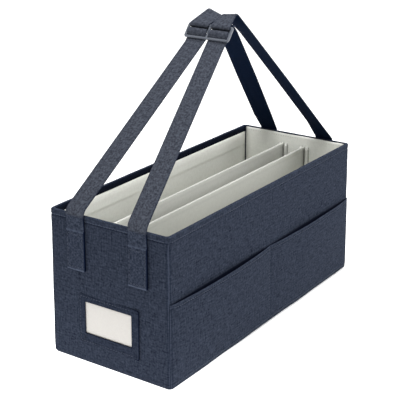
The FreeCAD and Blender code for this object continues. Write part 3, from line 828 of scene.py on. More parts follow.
def divider_sleeve(side):
    name = side + "_divider_sleeve"
    low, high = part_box(name)
    middle, half = (low[1] + high[1]) / 2, (high[1] - low[1]) / 2
    coarse, fine = SLEEVE_COLUMNS
    along = spread(low[0], (low[0] + END_ZONE, fine), (high[0] - END_ZONE, coarse), (high[0], fine))
    coarse, fine = SLEEVE_ROWS
    side_heights = spread(low[2], (high[2] - TOP_ZONE, coarse), (high[2] - half, fine))
    turn = np.linspace(0, math.pi, 9)[1:-1]
    profile = [(-1, z) for z in side_heights]
    profile += [(-math.cos(t), high[2] - half * (1 - math.sin(t))) for t in turn]
    profile += [(1, z) for z in side_heights[::-1]]
    offset, height, across, uv, length = lay_out(np.array(profile) * (half, 1), along)
    share = offset / half
    end = np.minimum(across - low[0], high[0] - across)
    below_top = high[2] - height
    narrowing = np.sqrt(np.clip(1 - np.maximum(1 - end / half, 0) ** 2, LEAST_END, 1))
    wave = ripples(across, height, SLEEVE_SEEDS[side], *SLEEVE_RIPPLE)
    wave *= rise(below_top, *TOP_CALM) * rise(end, *END_CALM)
    out = middle + share * (half * narrowing - SLEEVE_SLACK) + wave * np.sign(share)
    points = np.stack((across, out, height), -1)
    tone = SLEEVE_TONE - TOP_SHADE * bump(below_top, 0, TOP_SHADE_WIDTH)
    tone -= SEAM_SHADE * bump(below_top, *TOP_SEAM)
    tone -= END_SHADE * (1 - rise(end, *END_SHADOW)) * rise(below_top, *LIT_TOP)
    return cloth_sheet(
        side + "_divider_cloth", name, points, "lining_cloth", uv, tone, SLEEVE_THICKNESS,
        body=side + "_divider", flat=(high[0] - low[0], length), held="stretched",
        rests_on=[side + "_divider_core"],
    )


dividers = [divider_sleeve(side) for side in ("front", "back")]
print("dividers", [piece.name for piece in dividers])

# %% [markdown]
# ## The channels
# Each end of a divider stands between two stuffed ribs, sewn to the lining of the end wall. A half
# cylinder would be too hard at its edges for padding, so each rib is a loft: half-round sections up its
# height, which shrink into a dome at the top. A rib is painted a little dark, and the creases where it
# meets the wall and its dome are painted darker, as shade.

# %% Channel ribs
RIB_WIDTH = 5.5 * MM
RIB_CLEARANCE = 0.3 * MM
RIB_BELOW_TOP = 3.8 * MM
DOME = 4 * MM
DOME_ZONE = 6 * MM
RIB_ROWS = (20 * MM, 0.8 * MM)  # steps up the rib and at its dome
LEAST_DOME = 0.01  # the dome closes all but a little
RIB_BULGE = 0.8  # under one, a section is fuller than half round
RIB_TAPER = 0.45  # how much narrower the dome gets
# painted shade: a little on the whole rib, more in its creases at the wall and on its dome
RIB_TONE = -0.10
CREASE_SHADE, DOME_SHADE = 0.9, 0.4
DOME_SHADE_REACH = 3 * MM


def channel_ribs(end):
    name = ("left" if end < 0 else "right") + "_channel_ribs"
    low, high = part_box(name)
    wall = low[0] if end < 0 else high[0]
    depth, half, top = high[0] - low[0], RIB_WIDTH / 2, high[2] - RIB_BELOW_TOP
    turn = np.linspace(0, math.pi, 11)
    heights = spread(low[2], (top - DOME_ZONE, RIB_ROWS[0]), (top, RIB_ROWS[1]))
    dome = np.sqrt(np.clip(1 - (np.maximum(heights - (top - DOME), 0) / DOME) ** 2, LEAST_DOME, 1))
    size, angle, z = np.broadcast_arrays(dome[:, None], turn, heights[:, None])
    x = wall - end * np.sin(angle) ** RIB_BULGE * depth * size
    points, faces = [], []
    for divider in ("front", "back"):
        sleeve_low, sleeve_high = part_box(divider + "_divider_sleeve")
        for middle in (sleeve_low[1] - RIB_CLEARANCE - half, sleeve_high[1] + RIB_CLEARANCE + half):
            y = middle - end * np.cos(angle) * half * (1 - RIB_TAPER + RIB_TAPER * size)
            index = len(points) * z.size + np.arange(z.size).reshape(z.shape)
            faces += (index[0, 0] + np.array(grid_faces(*z.shape))).tolist()
            faces += [index[-1].tolist(), index[0, ::-1].tolist()]
            faces += np.stack((index[:-1, 0], index[1:, 0], index[1:, -1], index[:-1, -1]), -1).tolist()
            points.append(np.stack((x, y, z), -1))
    points = np.array(points)
    uv = np.broadcast_to(np.stack((angle * half, z), -1), (*points.shape[:-1], 2))
    tone = RIB_TONE - CREASE_SHADE * (1 - np.sin(angle))
    tone = tone - DOME_SHADE * rise(z, top - DOME_SHADE_REACH, top)
    tone = np.broadcast_to(tone, points.shape[:-1])
    cloth = "lining_cloth"
    ribs = make_piece(name[:-1] + "_padding", points, faces, cloths[cloth], "box", uv, tone)
    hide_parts(name)
    return ribs


ribs = [channel_ribs(end) for end in (-1, 1)]
print("ribs", [piece.name for piece in ribs])

# %% [markdown]
# ## How the pocket stands
# One panel of cover cloth makes two pockets along the pocket side. It is sewn flat at both ends, at the
# middle and along its foot. It could be hung as a cloth simulation, but where it is sewn leaves it
# little choice: it stands off the wall between those seams, most near its mouth. A formula says how
# far, for the cloth and for its stitches.

# %% How the pocket stands
POCKET_STITCH = 4.6 * MM  # from the mouth down to its stitches
POCKET_INSET = 0.4 * MM  # from the corner seam to the panel's end
POCKET_RIPPLE = (0.28 * MM, 0.035, 0.13)
POCKET_SEED = 51
SEWN_STAND = 1.2 * MM  # how far the sewn edges stand off the wall
BELLY_STAND = (0.4 * MM, 4.7 * MM)  # and the middle of a bay beyond that, at its foot and more above
BAY_POWER, BELLY_POWER = 0.7, 0.8  # under one, a bay is fuller than a parabola and the belly than a sine
BELLY_CLIMB = 1.25  # the belly is at its fullest four fifths of the way up
POCKET_GROOVE = 0.9 * MM  # width of the dip at its stitches
END_STAND = 0.8 * MM
POCKET_END = 5 * MM  # nearer to its corner seams than this, the panel is held in
END_LIMIT = 20 * MM  # more than any bay stands off, so only the sewn ends are held in
CLOSEST = 0.05 * MM


def pocket_stand(along, height):
    """How far the outside of the pocket stands off the wall."""
    bay = np.abs(along) / (HALF_LENGTH - CORNER)
    bay_share = np.clip(1 - (2 * bay - 1) ** 2, 0, 1) ** BAY_POWER
    climb = np.clip((height - BASE_EDGE) / (POCKET_TOP - BASE_EDGE), 0, 1)
    least, more = BELLY_STAND
    belly = least + more * np.sin(np.minimum(climb * BELLY_CLIMB, 1) * math.pi / 2) ** BELLY_POWER
    stand = SEWN_STAND + belly * bay_share
    stand = stand + ripples(along, height, POCKET_SEED, *POCKET_RIPPLE) * bay_share
    stand -= STITCH_DIP * bump(height, POCKET_TOP - POCKET_STITCH, POCKET_GROOVE)
    stand -= STITCH_DIP * bump(np.abs(along), 0, POCKET_GROOVE)
    from_end = panel_reach("front") - np.abs(along)
    return np.minimum(stand, END_STAND + rise(from_end, POCKET_INSET, POCKET_END) * END_LIMIT)


bay_stand = pocket_stand(HALF_LENGTH / 2, POCKET_TOP)
print("the mouth stands off by", round(float(bay_stand) / MM, 1), "mm in the middle of a bay")

# %% [markdown]
# ## The pocket panel
# The cloth of the pocket folds over at its mouth. A thick edge could stand for the fold, but the mouth
# is seen from above, so the grid goes up the outside, round the fold and a little way down the inside.
# The mouth is painted pale, as a highlight, and the hem behind it is painted dark, as shade.

# %% Pocket panel
POCKET_THICKNESS = 0.45 * MM
POCKET_FOLD = 0.6 * MM
POCKET_HEM = 9 * MM
POCKET_FOOT = 2.2 * MM
POCKET_ZONES = (6 * MM, 30 * MM, 5 * MM)  # two from its ends, and one to either side of its middle
POCKET_COLUMNS = (0.6 * MM, 2 * MM, 6 * MM)  # steps at the seams, near the ends and elsewhere
POCKET_ROWS = (9 * MM, 6 * MM, 0.6 * MM)  # how far below the mouth close rows begin, and both steps
INSIDE_ROWS = (2 * MM, 2.5 * MM)  # how far below the mouth the rows inside begin, and their step
MOUTH_TONE = (0.12, POCKET_TOP, 1 * MM)  # the folded mouth is painted lighter, as a highlight: strength, middle and width
MOUTH_SHADE = (0.30, POCKET_TOP - POCKET_STITCH - 0.6 * MM, 0.8 * MM)  # painted shade under its stitches
# painted highlight and painted shade beside the middle seam and the end seams: strength, middle and width
MIDDLE_SEAM_TONE = ((0.10, 0.6 * MM, 0.6 * MM), (-0.25, -0.6 * MM, 0.7 * MM))
END_SEAM_TONE = ((0.30, 0.3 * MM, 0.6 * MM), (-0.25, 1.8 * MM, 0.9 * MM))


def pocket():
    reach = panel_reach("front") - POCKET_INSET
    near, far, middle = POCKET_ZONES
    fine, medium, coarse = POCKET_COLUMNS
    along = spread(
        -reach, (near - reach, fine), (far - reach, medium), (-middle, coarse), (middle, fine),
        (reach - far, coarse), (reach - near, medium), (reach, fine),
    )
    close, coarse, fine = POCKET_ROWS
    climb = spread(POCKET_FOOT, (POCKET_TOP - close, coarse), (POCKET_TOP - POCKET_FOLD, fine))
    turn = np.linspace(0, math.pi, 7)[1:]
    inside = POCKET_TOP - spread(INSIDE_ROWS[0], (POCKET_HEM, INSIDE_ROWS[1]))
    height = np.concatenate((climb, POCKET_TOP - POCKET_FOLD * (1 - np.sin(turn)), inside))
    depth = (np.zeros(len(climb)), POCKET_FOLD * (1 - np.cos(turn)), np.full(len(inside), 2 * POCKET_FOLD))
    depth = np.concatenate(depth)
    height, depth, across, uv, length = lay_out(np.column_stack((height, depth)), along)
    base = BASE_EDGE - np.sqrt(np.clip(BASE_EDGE**2 - np.maximum(BASE_EDGE - height, 0) ** 2, 0, 1))
    stand = pocket_stand(across, np.minimum(height, POCKET_TOP))
    points = on_wall("front", across, base - np.maximum(stand - depth, CLOSEST), height)
    outside = depth < POCKET_FOLD / 2
    # painted highlight on the mouth and painted shade under its stitches
    tone = bumps(height, [MOUTH_TONE])
    tone -= bumps(height, [MOUTH_SHADE]) * outside
    tone += bumps(across, MIDDLE_SEAM_TONE) * outside
    tone += bumps(reach - np.abs(across), END_SEAM_TONE)
    # painted shade on the hem behind the mouth
    tone -= HEM_SHADE * (1 - outside)
    return cloth_sheet(
        "pocket_cloth", "pocket_panel", points, "cover_cloth", uv, tone, POCKET_THICKNESS,
        flat=(2 * reach, length), held="hung", rests_on=["front_cover_cloth"],
    )


pocket_panel = pocket()
print("pocket", len(pocket_panel.data.polygons), "faces, top at", round(POCKET_TOP, 4))

# %% [markdown]
# ## Outlines of the holder
# The label holder and its window are rectangles with rounded corners. A Bevel modifier could round
# them, but both outlines need the same number of points, so that cloth can be laid between them. So one
# function draws both, with arcs at the corners and even steps along the sides.

# %% Outlines of the holder
CORNER_POINTS = 5
SIDE_STEPS = 12


def frame_outline(low, high, corner):
    """Points (y, z) round a rectangle with rounded corners, from the right end of its lower edge."""
    (left, foot), (right, head) = low + corner, high - corner
    outline = []
    for quarter, (y, z) in enumerate(((right, foot), (right, head), (left, head), (left, foot))):
        for t in np.linspace(quarter - 1, quarter, CORNER_POINTS) * math.pi / 2:
            outline.append((y + corner * math.cos(t), z + corner * math.sin(t)))
    outline = np.array(outline + outline[:1])
    points = []
    for index, (a, b) in enumerate(zip(outline, outline[1:])):
        steps = SIDE_STEPS if index % CORNER_POINTS == CORNER_POINTS - 1 else 1
        points += [a + (b - a) * k / steps for k in range(steps)]
    return np.array(points)


def on_label_end(place, lift):
    """Points on the label end, from (y, z) places and how far they stand off it."""
    return np.column_stack((-HALF_LENGTH - flare(place[:, 1]) - lift, place))


print("an outline has", 4 * (CORNER_POINTS - 1 + SIDE_STEPS), "points")

# %% [markdown]
# ## The label holder
# The holder is a frame of cloth round a window, for a blank paper card. Three edges are sewn to the
# wall and the fourth, towards the pocket side, is open for the card. A flat plate with a hole could
# stand for it, but its sewn edges have to sink to the wall and the window's edge is turned in. So its
# grid runs round the frame in one direction, and from the outer edge to behind the window in the other.

# %% Label holder
HOLDER_THICKNESS = 0.3 * MM
HOLDER_CORNER = 2.2 * MM
WINDOW_CORNER = 1.2 * MM
WINDOW_HALF_WIDTH = 31.7 * MM
WINDOW_HEIGHT = 37.4 * MM
CARD_LAP = 3.3 * MM  # how far the card goes down behind the window's lower edge
TURN_IN = 2.6 * MM  # the cloth turned back round the window
OPEN_LIFT = 0.95  # share of the depth at which the open side stands
OPEN_SIDE = (0.030, 0.0405)  # from the middle, where the open side begins and is fully open
HOLDER_TONE = -0.25
# painted shade along the open side and on the turned-in edge of the window
OPEN_SHADE = 0.7
WINDOW_EDGE_SHADE = -0.8
FRAME_ROWS = (  # from the outer edge to the window and back behind it: share of the way, share of the depth
    (0, 0), (0.05, 0.18), (0.12, 0.34), (0.2, 0.42), (0.28, 0.52), (0.5, 0.80), (0.78, 1.0), (0.9, 1.0),
    (0.97, 0.95), (1.0, 0.80), (0.94, 0.62), (0.8, 0.58),
)
WINDOW_EDGE_ROW = 8


def label_holder():
    low, high = (np.array(corner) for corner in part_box("label_holder"))
    outer = frame_outline(low[1:], high[1:], HOLDER_CORNER)
    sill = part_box("label_card")[0][2] + CARD_LAP
    window_low = np.array((-WINDOW_HALF_WIDTH, sill))
    window_high = np.array((WINDOW_HALF_WIDTH, sill + WINDOW_HEIGHT))
    window = frame_outline(window_low, window_high, WINDOW_CORNER)
    depth = high[0] - low[0]
    open_side = rise(-outer[:, 0], *OPEN_SIDE)
    rows = []
    for share, height in FRAME_ROWS:
        place = outer + (window - outer) * share
        lift = height + (max(height, OPEN_LIFT) - height) * open_side * (share < 0.5)
        rows.append(on_label_end(place, depth * lift))
    points = np.array(rows)
    points = np.concatenate((points, points[:, :1]), 1)
    tone = np.full(points.shape[:2], HOLDER_TONE)
    # painted shade along the open side and round the window's turned-in edge
    tone[:2, :-1] -= OPEN_SHADE * open_side
    tone[WINDOW_EDGE_ROW:] = WINDOW_EDGE_SHADE
    tone[:, -1] = tone[:, 0]
    faces = [face[::-1] for face in grid_faces(*points.shape[:2])]
    sides, opening = high[1:] - low[1:], window_high - window_low
    area = sides[0] * sides[1] - opening[0] * opening[1] + TURN_IN * 2 * (opening[0] + opening[1])
    return cloth_sheet(
        "label_holder_cloth", "label_holder", points, "cover_cloth", points[..., 1:], tone,
        HOLDER_THICKNESS, faces, flat=tuple(sides), held="stretched",
        rests_on=["left_end_cover_cloth"], area=area,
    )


holder = label_holder()
print("label holder", len(holder.data.polygons), "faces")

# %% [markdown]
# ## The card
# A blank paper card stands behind the window and can be drawn out at the open side. A single face would
# do, but the wall leans a little and paper never lies quite flat, so it is a small grid that follows the
# wall and is slightly bowed.

# %% Blank card
CARD_THICKNESS = 0.3 * MM
CARD_BOW = 0.08 * MM
CARD_CLEARANCE = 0.1 * MM


def blank_card():
    low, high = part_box("label_card")
    z, y = np.broadcast_arrays(np.linspace(low[2], high[2], 9)[:, None], np.linspace(high[1], low[1], 13))
    bow = CARD_BOW * (y / high[1]) ** 2
    points = np.stack((low[0] + CARD_CLEARANCE + bow - flare(z), y, z), -1)
    faces = grid_faces(*z.shape)
    card = make_piece("blank_card", points, faces, card_paper, "label_card", points[..., 1:])
    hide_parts("label_card")
    return thicken(card, CARD_THICKNESS)


card = blank_card()
print("card", len(card.data.polygons), "faces")

# %% [markdown]
# ## Rounded lines
# A strap runs straight and turns round edges and bars. A curve object could follow such a route with
# handles set by eye, but a line through corners, with an arc at each bend, says how tight a turn is.
# The number of points is given as well, so that two lines can be paired.

# %% Rounded lines
def rounded(corners, radii, runs, turns):
    """A line through corners with arcs at the bends: runs points on each straight, turns on each arc."""
    corners = [Vector(corner) for corner in corners]
    points = [corners[0]]
    marks = [0]
    for index in range(1, len(corners)):
        ahead = (corners[index] - corners[index - 1]).normalized()
        last = index + 1 == len(corners)
        after = ahead if last else (corners[index + 1] - corners[index]).normalized()
        angle = ahead.angle(after)
        tangent = radii[index] * math.tan(angle / 2)
        start = corners[index] - ahead * tangent
        begin = points[-1]
        points += [begin.lerp(start, k / runs[index - 1]) for k in range(1, runs[index - 1] + 1)]
        if turns[index] and angle > 0.001:
            middle = corners[index] + (after - ahead).normalized() * (radii[index] / math.cos(angle / 2))
            first, final = start - middle, corners[index] + after * tangent - middle
            size = first.length
            first, final = first.normalized(), final.normalized()
            shares = [k / turns[index] for k in range(1, turns[index] + 1)]
            points += [middle + first.slerp(final, share) * size for share in shares]
        else:
            points += [start] * turns[index]
        marks.append(len(points) - 1 - turns[index] // 2)
    return np.array(points), marks


bend, _ = rounded([(0, 0, 0), (1, 0, 0), (1, 1, 0)], [0, 0.2, 0], [2, 2], [0, 4, 0])
print("a line with one bend has", len(bend), "points")

# %% [markdown]
# ## Webbing as a ribbon
# The handle is of woven webbing. A curve with a bevel could follow its path and even twist, but its
# section stays square to the path, and webbing folds askew. So a strap is a ribbon between two edges,
# each a rounded line. Every pair of points gives a ring, with its width and the way that it faces.

# %% Rings along a strap
RING_SPACING = 2.4 * MM
ARC_POINTS = 8


def ribbon_rings(rungs):
    """Middle, width, sideways and outward directions along a strap, from rungs of two ends and a radius."""
    minus = [np.array(rung[0]) * MM for rung in rungs]
    plus = [np.array(rung[1]) * MM for rung in rungs]
    radii = [rung[2] * MM for rung in rungs]
    middles = [(a + b) / 2 for a, b in zip(minus, plus)]
    runs = [max(1, round(np.linalg.norm(b - a) / RING_SPACING)) for a, b in zip(middles, middles[1:])]
    turns = [0 if radius == 0 else ARC_POINTS for radius in radii]
    turns[0] = turns[-1] = 0
    first, marks = rounded(minus, radii, runs, turns)
    second, _ = rounded(plus, radii, runs, turns)
    keep = [0]
    for index in range(1, len(first)):
        if np.linalg.norm(first[index] - first[keep[-1]]) > 1e-6 or index in marks:
            keep.append(index)
    marks = [keep.index(mark) for mark in marks]
    first, second = first[keep], second[keep]
    middle = (first + second) / 2
    width = np.linalg.norm(second - first, axis=1)
    sideways = (second - first) / width[:, None]
    outward = np.cross(np.gradient(middle, axis=0), sideways)
    outward /= np.linalg.norm(outward, axis=1)[:, None]
    return {
        "middle": middle, "width": width, "side": sideways, "out": outward, "length": lengths(middle),
        "marks": marks,
    }


print("a ring every", RING_SPACING, "m, and", ARC_POINTS, "at each bend")

# %% [markdown]
# ## Pieces of strap
# Webbing is flat, with soft sides where its yarns turn round. A box with a bevel would do for a
# straight strap, but these bend, so a small section is laid across each ring and the rings are joined.
# The stretch between two rings is a closed piece.

# %% Pieces of strap
STRAP_WIDTH = 25 * MM
STRAP_THICKNESS = 1.6 * MM
UPPER = [(-1, 0), (-0.985, 0.7), (-0.93, 0.96), (-0.5, 1), (0, 1.05), (0.5, 1), (0.93, 0.96), (0.985, 0.7)]
SECTION = np.array(UPPER + [(-a, -b) for a, b in UPPER])  # half widths across, half thicknesses up
UNDER_FACE = SECTION[:, 1] < -0.3
SIDE_FACES = np.abs(SECTION[:, 0]) > 0.96


def ribbon_piece(name, rings, start, stop, body, underside_shade, cloth="webbing"):
    """The stretch of a strap between two rings, as a closed mesh."""
    part = slice(start, stop + 1)
    count = stop - start + 1
    across = rings["width"][part, None] / 2 * SECTION[None, :, 0]
    above = rings["thickness"][part, None] / 2 * SECTION[None, :, 1]
    points = rings["middle"][part, None, :] + across[..., None] * rings["side"][part, None, :]
    points = points + above[..., None] * rings["out"][part, None, :]
    index = np.arange(count * len(SECTION)).reshape(count, len(SECTION))
    after = np.roll(index, -1, 1)
    quads = np.stack((index[:-1], index[1:], after[1:], after[:-1]), -1).reshape(-1, 4).tolist()
    faces = quads + [index[0].tolist(), index[-1, ::-1].tolist()]
    uv = np.stack(np.broadcast_arrays(SECTION[:, 0] * STRAP_WIDTH / 2, rings["length"][part, None]), -1)
    # painted shade on the underside, and the strap's painted highlights and shade along it
    tone = np.where(UNDER_FACE, underside_shade, 0.0) + rings["worn"][part, None]
    # painted shade on the sides
    tone = np.where(SIDE_FACES, rings["edge"][part, None], tone)
    return make_piece(name, points, faces, cloths[cloth], body, uv, np.clip(tone, -1, 1))


print("strap section", len(SECTION), "points")

# %% [markdown]
# ## Where the straps go
# The left straps climb to the slider, pass under its lower bar, over its middle bar and away under the
# upper one. The right straps climb to a ridge, fold over it and loop round the upper bar. At the ridge
# the front strap laps over the back one and their folds are askew, so the ridge dips in the middle. The
# path could be bent from a straight strap, but a few rungs across it say more plainly where it has to
# be.

# %% Strap routes
TAB_MIDDLE = 42  # from the middle of the box; this and the places below are in millimetres
AT_SLIDER = 14.45
HALF_STRAP = 12.5
HALF_SLOT = 13.1  # the webbing fills the slots of the slider
TAIL_DRIFT = 1.3  # and its tails lie a little askew behind it
TAB_TOP = 175
LEFT_JUNCTION = 332.85
RIGHT_JUNCTION = 337.6
TAB_RUNGS = (  # x, height and bend of each, as in the rows below
    (202.7, 112, 0), (202.7, 113.2, 0), (202.2, 156, 0), (202.2, 157, 0), (201.9, 159, 0),
)
LEFT_CLIMB = ((-202.6, TAB_TOP, 0), (-202.6, 180.0, 13))  # past the rim
LEFT_APPROACH = ((-16.94, LEFT_JUNCTION, 25),)
LEFT_BARS = ((-11.49, 337.44, 2.5), (-12.2, 350.7, 3.0))  # in the slider
LEFT_TAIL = ((-5.1, 345.22, 2.5), (6.0, 352.3, 0))
RIGHT_CLIMB = ((201.3, TAB_TOP, 0), (201.3, 176.1, 2))
RIGHT_LOOP = ((-7.12, 352.69, 2.5),)
RIGHT_TAIL = ((-4.61, 347.79, 2.5), (4.0, 353.3, 0))
CROWNS = {  # the -Y and +Y ends of the rungs up a right leg to the ridge, with their bends
    "front": [
        ((177.5, -50.8, 199.5), (182.6, -26.3, 200.6), 60),
        ((113.3, -40.3, 265.3), (118.5, -16.0, 266.6), 60),
        ((40.8, -28.8, RIGHT_JUNCTION), (48.4, -4.9, RIGHT_JUNCTION), 60),
        ((19.5, -20.0, 364.0), (17.5, -1.8, 361.6), 4),
    ],
    "back": [
        ((181.5, 26.5, 200.5), (176.4, 51.0, 199.6), 60),
        ((121.6, 15.9, 267.7), (115.5, 40.1, 265.7), 60),
        ((56.0, 4.4, RIGHT_JUNCTION), (52.9, 29.3, RIGHT_JUNCTION), 60),
        ((16.9, -3.5, 359.4), (22.9, 21.0, 365.8), 4),
    ],
}


def level(places, middle, half=HALF_STRAP):
    """Rungs that lie level across the box, from places of x, height and bend."""
    return [((x, middle - half, z), (x, middle + half, z), radius) for x, z, radius in places]


def strap_rungs(side_name, side):
    foot, held = side * TAB_MIDDLE, side * AT_SLIDER
    tail = held + TAIL_DRIFT
    left = level([(-x, z, radius) for x, z, radius in TAB_RUNGS], foot)
    left += level(LEFT_CLIMB, foot) + level(LEFT_APPROACH, held)
    left += level(LEFT_BARS, held, HALF_SLOT) + level(LEFT_TAIL, tail, HALF_SLOT)
    right = level(TAB_RUNGS + RIGHT_CLIMB, foot) + CROWNS[side_name]
    right += level(RIGHT_LOOP, held, HALF_SLOT) + level(RIGHT_TAIL, tail, HALF_SLOT)
    right = [(plus, minus, radius) for minus, plus, radius in right]  # so that its face looks outwards too
    return {"left": left, "right": right}


routes = {side_name: strap_rungs(side_name, side) for side_name, side in (("front", -1), ("back", 1))}
print("rungs", {end: len(rungs) for end, rungs in routes["front"].items()})

# %% [markdown]
# ## The four straps
# A strap could be one mesh, but it is cut where it changes what it moves with: the tab is sewn to the
# box, the leg flattens as the handle comes down, and the rest goes with the grip. The lower part of a tab
# is folded double, so it is thicker there. Both ends of that fold get a painted highlight; the sides and
# the underside of a strap, and the tab, are painted darker, as shade.

# %% Straps
FOLD_RUNG = 3  # the upper end of a tab's folded cloth
RIM_RUNG = 5
TAB_FOLD = 2.2  # thickness of the folded end, in thicknesses of the strap
# painted shade on the sides of a strap, darkest on the tab
TAB_SIDE_SHADE, LEG_SIDE_SHADE = -1.0, -0.5
# painted highlights at the top of a tab's fold and at its foot
FOLD_HIGHLIGHT, FOOT_HIGHLIGHT = 0.5, 0.8
# painted shade on the folded part of a tab
TAB_SHADE = 0.12
ENDS = {  # crown's piece and node, the junction's height and rung, last rung with stitches, painted shade beneath
    "left": ("_loop_webbing", "_strap_loop", LEFT_JUNCTION, 7, 10, -0.2),
    "right": ("_grip_webbing", "_grip_strap", RIGHT_JUNCTION, 9, 11, -1.0),
}


def make_strap(side_name, end):
    """One strap in three pieces, and what its stitches need."""
    piece_end, node_end, junction, junction_rung, sewn_rung, underside_shade = ENDS[end]
    rings = ribbon_rings(routes[side_name][end])
    stops = (FOLD_RUNG, RIM_RUNG, junction_rung, sewn_rung)
    fold, top, split, sewn = (rings["marks"][rung] for rung in stops)
    ring = np.arange(len(rings["middle"]))
    rings["thickness"] = STRAP_THICKNESS * np.where(ring <= fold, TAB_FOLD, 1.0)
    rings["edge"] = np.where(ring <= top, TAB_SIDE_SHADE, LEG_SIDE_SHADE)
    # painted highlights at both ends of the fold
    rings["worn"] = FOLD_HIGHLIGHT * bump(ring, fold, 0.7) + FOOT_HIGHLIGHT * bump(rings["length"], 0, 0.001)
    # painted shade on the folded part of the tab
    rings["worn"] -= TAB_SHADE * (ring <= fold)
    name = end + "_" + side_name
    tab = ribbon_piece(name + "_tab_webbing", rings, 0, top, "box", underside_shade, "tab_webbing")
    leg = ribbon_piece(name + "_leg_webbing", rings, top, split, "box", underside_shade)
    crown = ribbon_piece(side_name + piece_end, rings, split, len(ring) - 1, "grip", underside_shade)
    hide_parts(name + "_strap_tab")
    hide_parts(name + "_strap_leg")
    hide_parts(side_name + node_end)
    return {
        "name": name, "rings": rings, "top": top, "split": split, "sewn": sewn, "leg": leg,
        "junction": junction,
    }


straps = [make_strap(side_name, end) for side_name in routes for end in ENDS]
print("straps", {strap["name"]: len(strap["rings"]["middle"]) for strap in straps})

# %% [markdown]
# ## One stitch
# Every seam is sewn with thread. A dashed line in the material would be quick, but real stitches catch
# the light and dip into the cloth, so each is a short bead of its own, arched in the middle, with both
# ends below the cloth.

# %% One stitch
BEAD_SIDES = 5
BEAD_RINGS = ((-0.36, 0.8), (0, 1.0), (0.36, 0.8))  # place along the stitch and thickness
BEAD_SINK = -0.8  # how deep its ends are, in half thicknesses of the thread
BEAD_ARCH = (0.35, 1.6)  # the lift of its middle, and how fast that is lost towards the ends


def bead_shape():
    """One stitch along X, up Z: two ends below the cloth and three rings between them."""
    turn = np.arange(BEAD_SIDES) / BEAD_SIDES * math.tau
    points = [(-0.5, 0, BEAD_SINK)]
    for place, size in BEAD_RINGS:
        lift = BEAD_ARCH[0] - BEAD_ARCH[1] * place**2
        points += [(place, size * math.cos(t), lift + size * math.sin(t)) for t in turn]
    points.append((0.5, 0, BEAD_SINK))
    faces = []
    for k in range(BEAD_SIDES):
        following = (k + 1) % BEAD_SIDES
        faces.append((0, 1 + following, 1 + k))
        for ring in (0, 1):
            base = 1 + ring * BEAD_SIDES
            faces.append((base + k, base + following, base + BEAD_SIDES + following, base + BEAD_SIDES + k))
        last = 1 + 2 * BEAD_SIDES
        faces.append((last + k, last + following, 3 * BEAD_SIDES + 1))
    return np.array(points), faces


BEAD_POINTS, BEAD_FACES = bead_shape()
print("a stitch has", len(BEAD_POINTS), "points and", len(BEAD_FACES), "faces")

# %% [markdown]
# ## Rows of stitches
# A seam is a row of stitches. An Array modifier on a curve could repeat the bead, but it doesn't know
# which way the cloth faces. So beads are laid along a run of points, with the direction that the cloth
# faces there, and all the stitches of one group are one mesh.

# %% Rows of stitches
STITCH_PITCH = 3.6 * MM
STITCH_LENGTH = 2.9 * MM
STITCH_AIM = 0.4 * STITCH_PITCH  # how far to either side a stitch looks for its direction
THREAD = 0.34 * MM  # half the thickness of the thread


def at_length(place, length, values):
    """What a run has at some length along it."""
    return np.array([np.interp(place, length, column) for column in values.T])


def stitches(name, runs, thread, body):
    """A row of stitches along each run, which is points and the directions that the cloth faces there."""
    points, faces, total = [], [], 0
    for path, facing in runs:
        length = lengths(path)
        count = max(1, int(length[-1] // STITCH_PITCH))
        for place in (np.arange(count) + 0.5) * length[-1] / count:
            shifts = (-STITCH_AIM, 0, STITCH_AIM)
            before, at, after = (at_length(place + shift, length, path) for shift in shifts)
            ahead = (after - before) / np.linalg.norm(after - before)
            up = at_length(place, length, facing)
            up = up - ahead * (up @ ahead)
            up /= np.linalg.norm(up)
            axes = np.array((ahead * STITCH_LENGTH, np.cross(up, ahead) * THREAD, up * THREAD))
            points.append(at + BEAD_POINTS @ axes)
            faces += [[total + i for i in face] for face in BEAD_FACES]
            total += len(BEAD_POINTS)
    return make_piece(name, np.concatenate(points), faces, thread, body)


print("a stitch every", STITCH_PITCH, "m")

# %% [markdown]
# ## Seams of the walls
# Stitches run below the rim all round, and across the lining at both ends. They could be traced by hand
# on the finished meshes, but the functions that placed the cloth also give the places of its seams, so
# the stitches sit in the dips that were made for them.

# %% Seams of the walls
SEAM_END = 4 * MM  # how far from a corner a row of stitches stops
LINING_SINK = 0.4 * MM


def wall_run(wall, along, height, stand):
    """A run on the outside of a wall."""
    path, lifted = (on_wall(wall, along, -stand - lift, height) for lift in (0, MM))
    return path, (lifted - path) / MM


def rim_runs():
    runs = []
    for wall in WALLS:
        end = panel_reach(wall) - SEAM_END
        along = np.linspace(-end, end, 120)
        runs.append(wall_run(wall, along, RIM_STITCH, cover_relief(wall, along, RIM_STITCH)))
    return runs


def inside_runs():
    runs = []
    for wall in ("left_end", "right_end"):
        _, outward, half, distance = WALLS[wall]
        end = half - WALL - SEAM_END
        path = wall_points(wall, np.linspace(-end, end, 40), distance - WALL + LINING_SINK, LINING_LINE)
        runs.append((path, np.broadcast_to(-outward, path.shape)))
    return runs


print("rows of stitches on the walls", len(rim_runs()), "outside,", len(inside_runs()), "inside")

# %% [markdown]
# ## Seams of the pocket and the holder
# The pocket is sewn along its mouth, its foot and its middle, and the label holder round three sides.
# Both could be sewn flat and laid on, but the pocket bellies and the wall leans under the holder. So the
# formulas that placed their cloth place these stitches as well.

# %% Seams of the pocket and the holder
POCKET_SEAM_END = 2 * MM
POCKET_FOOT_LINE = 7 * MM
HOLDER_LINE = 2.6 * MM  # from the holder's edge to its stitches
HOLDER_LINE_LIFT = 0.48  # their share of the holder's depth


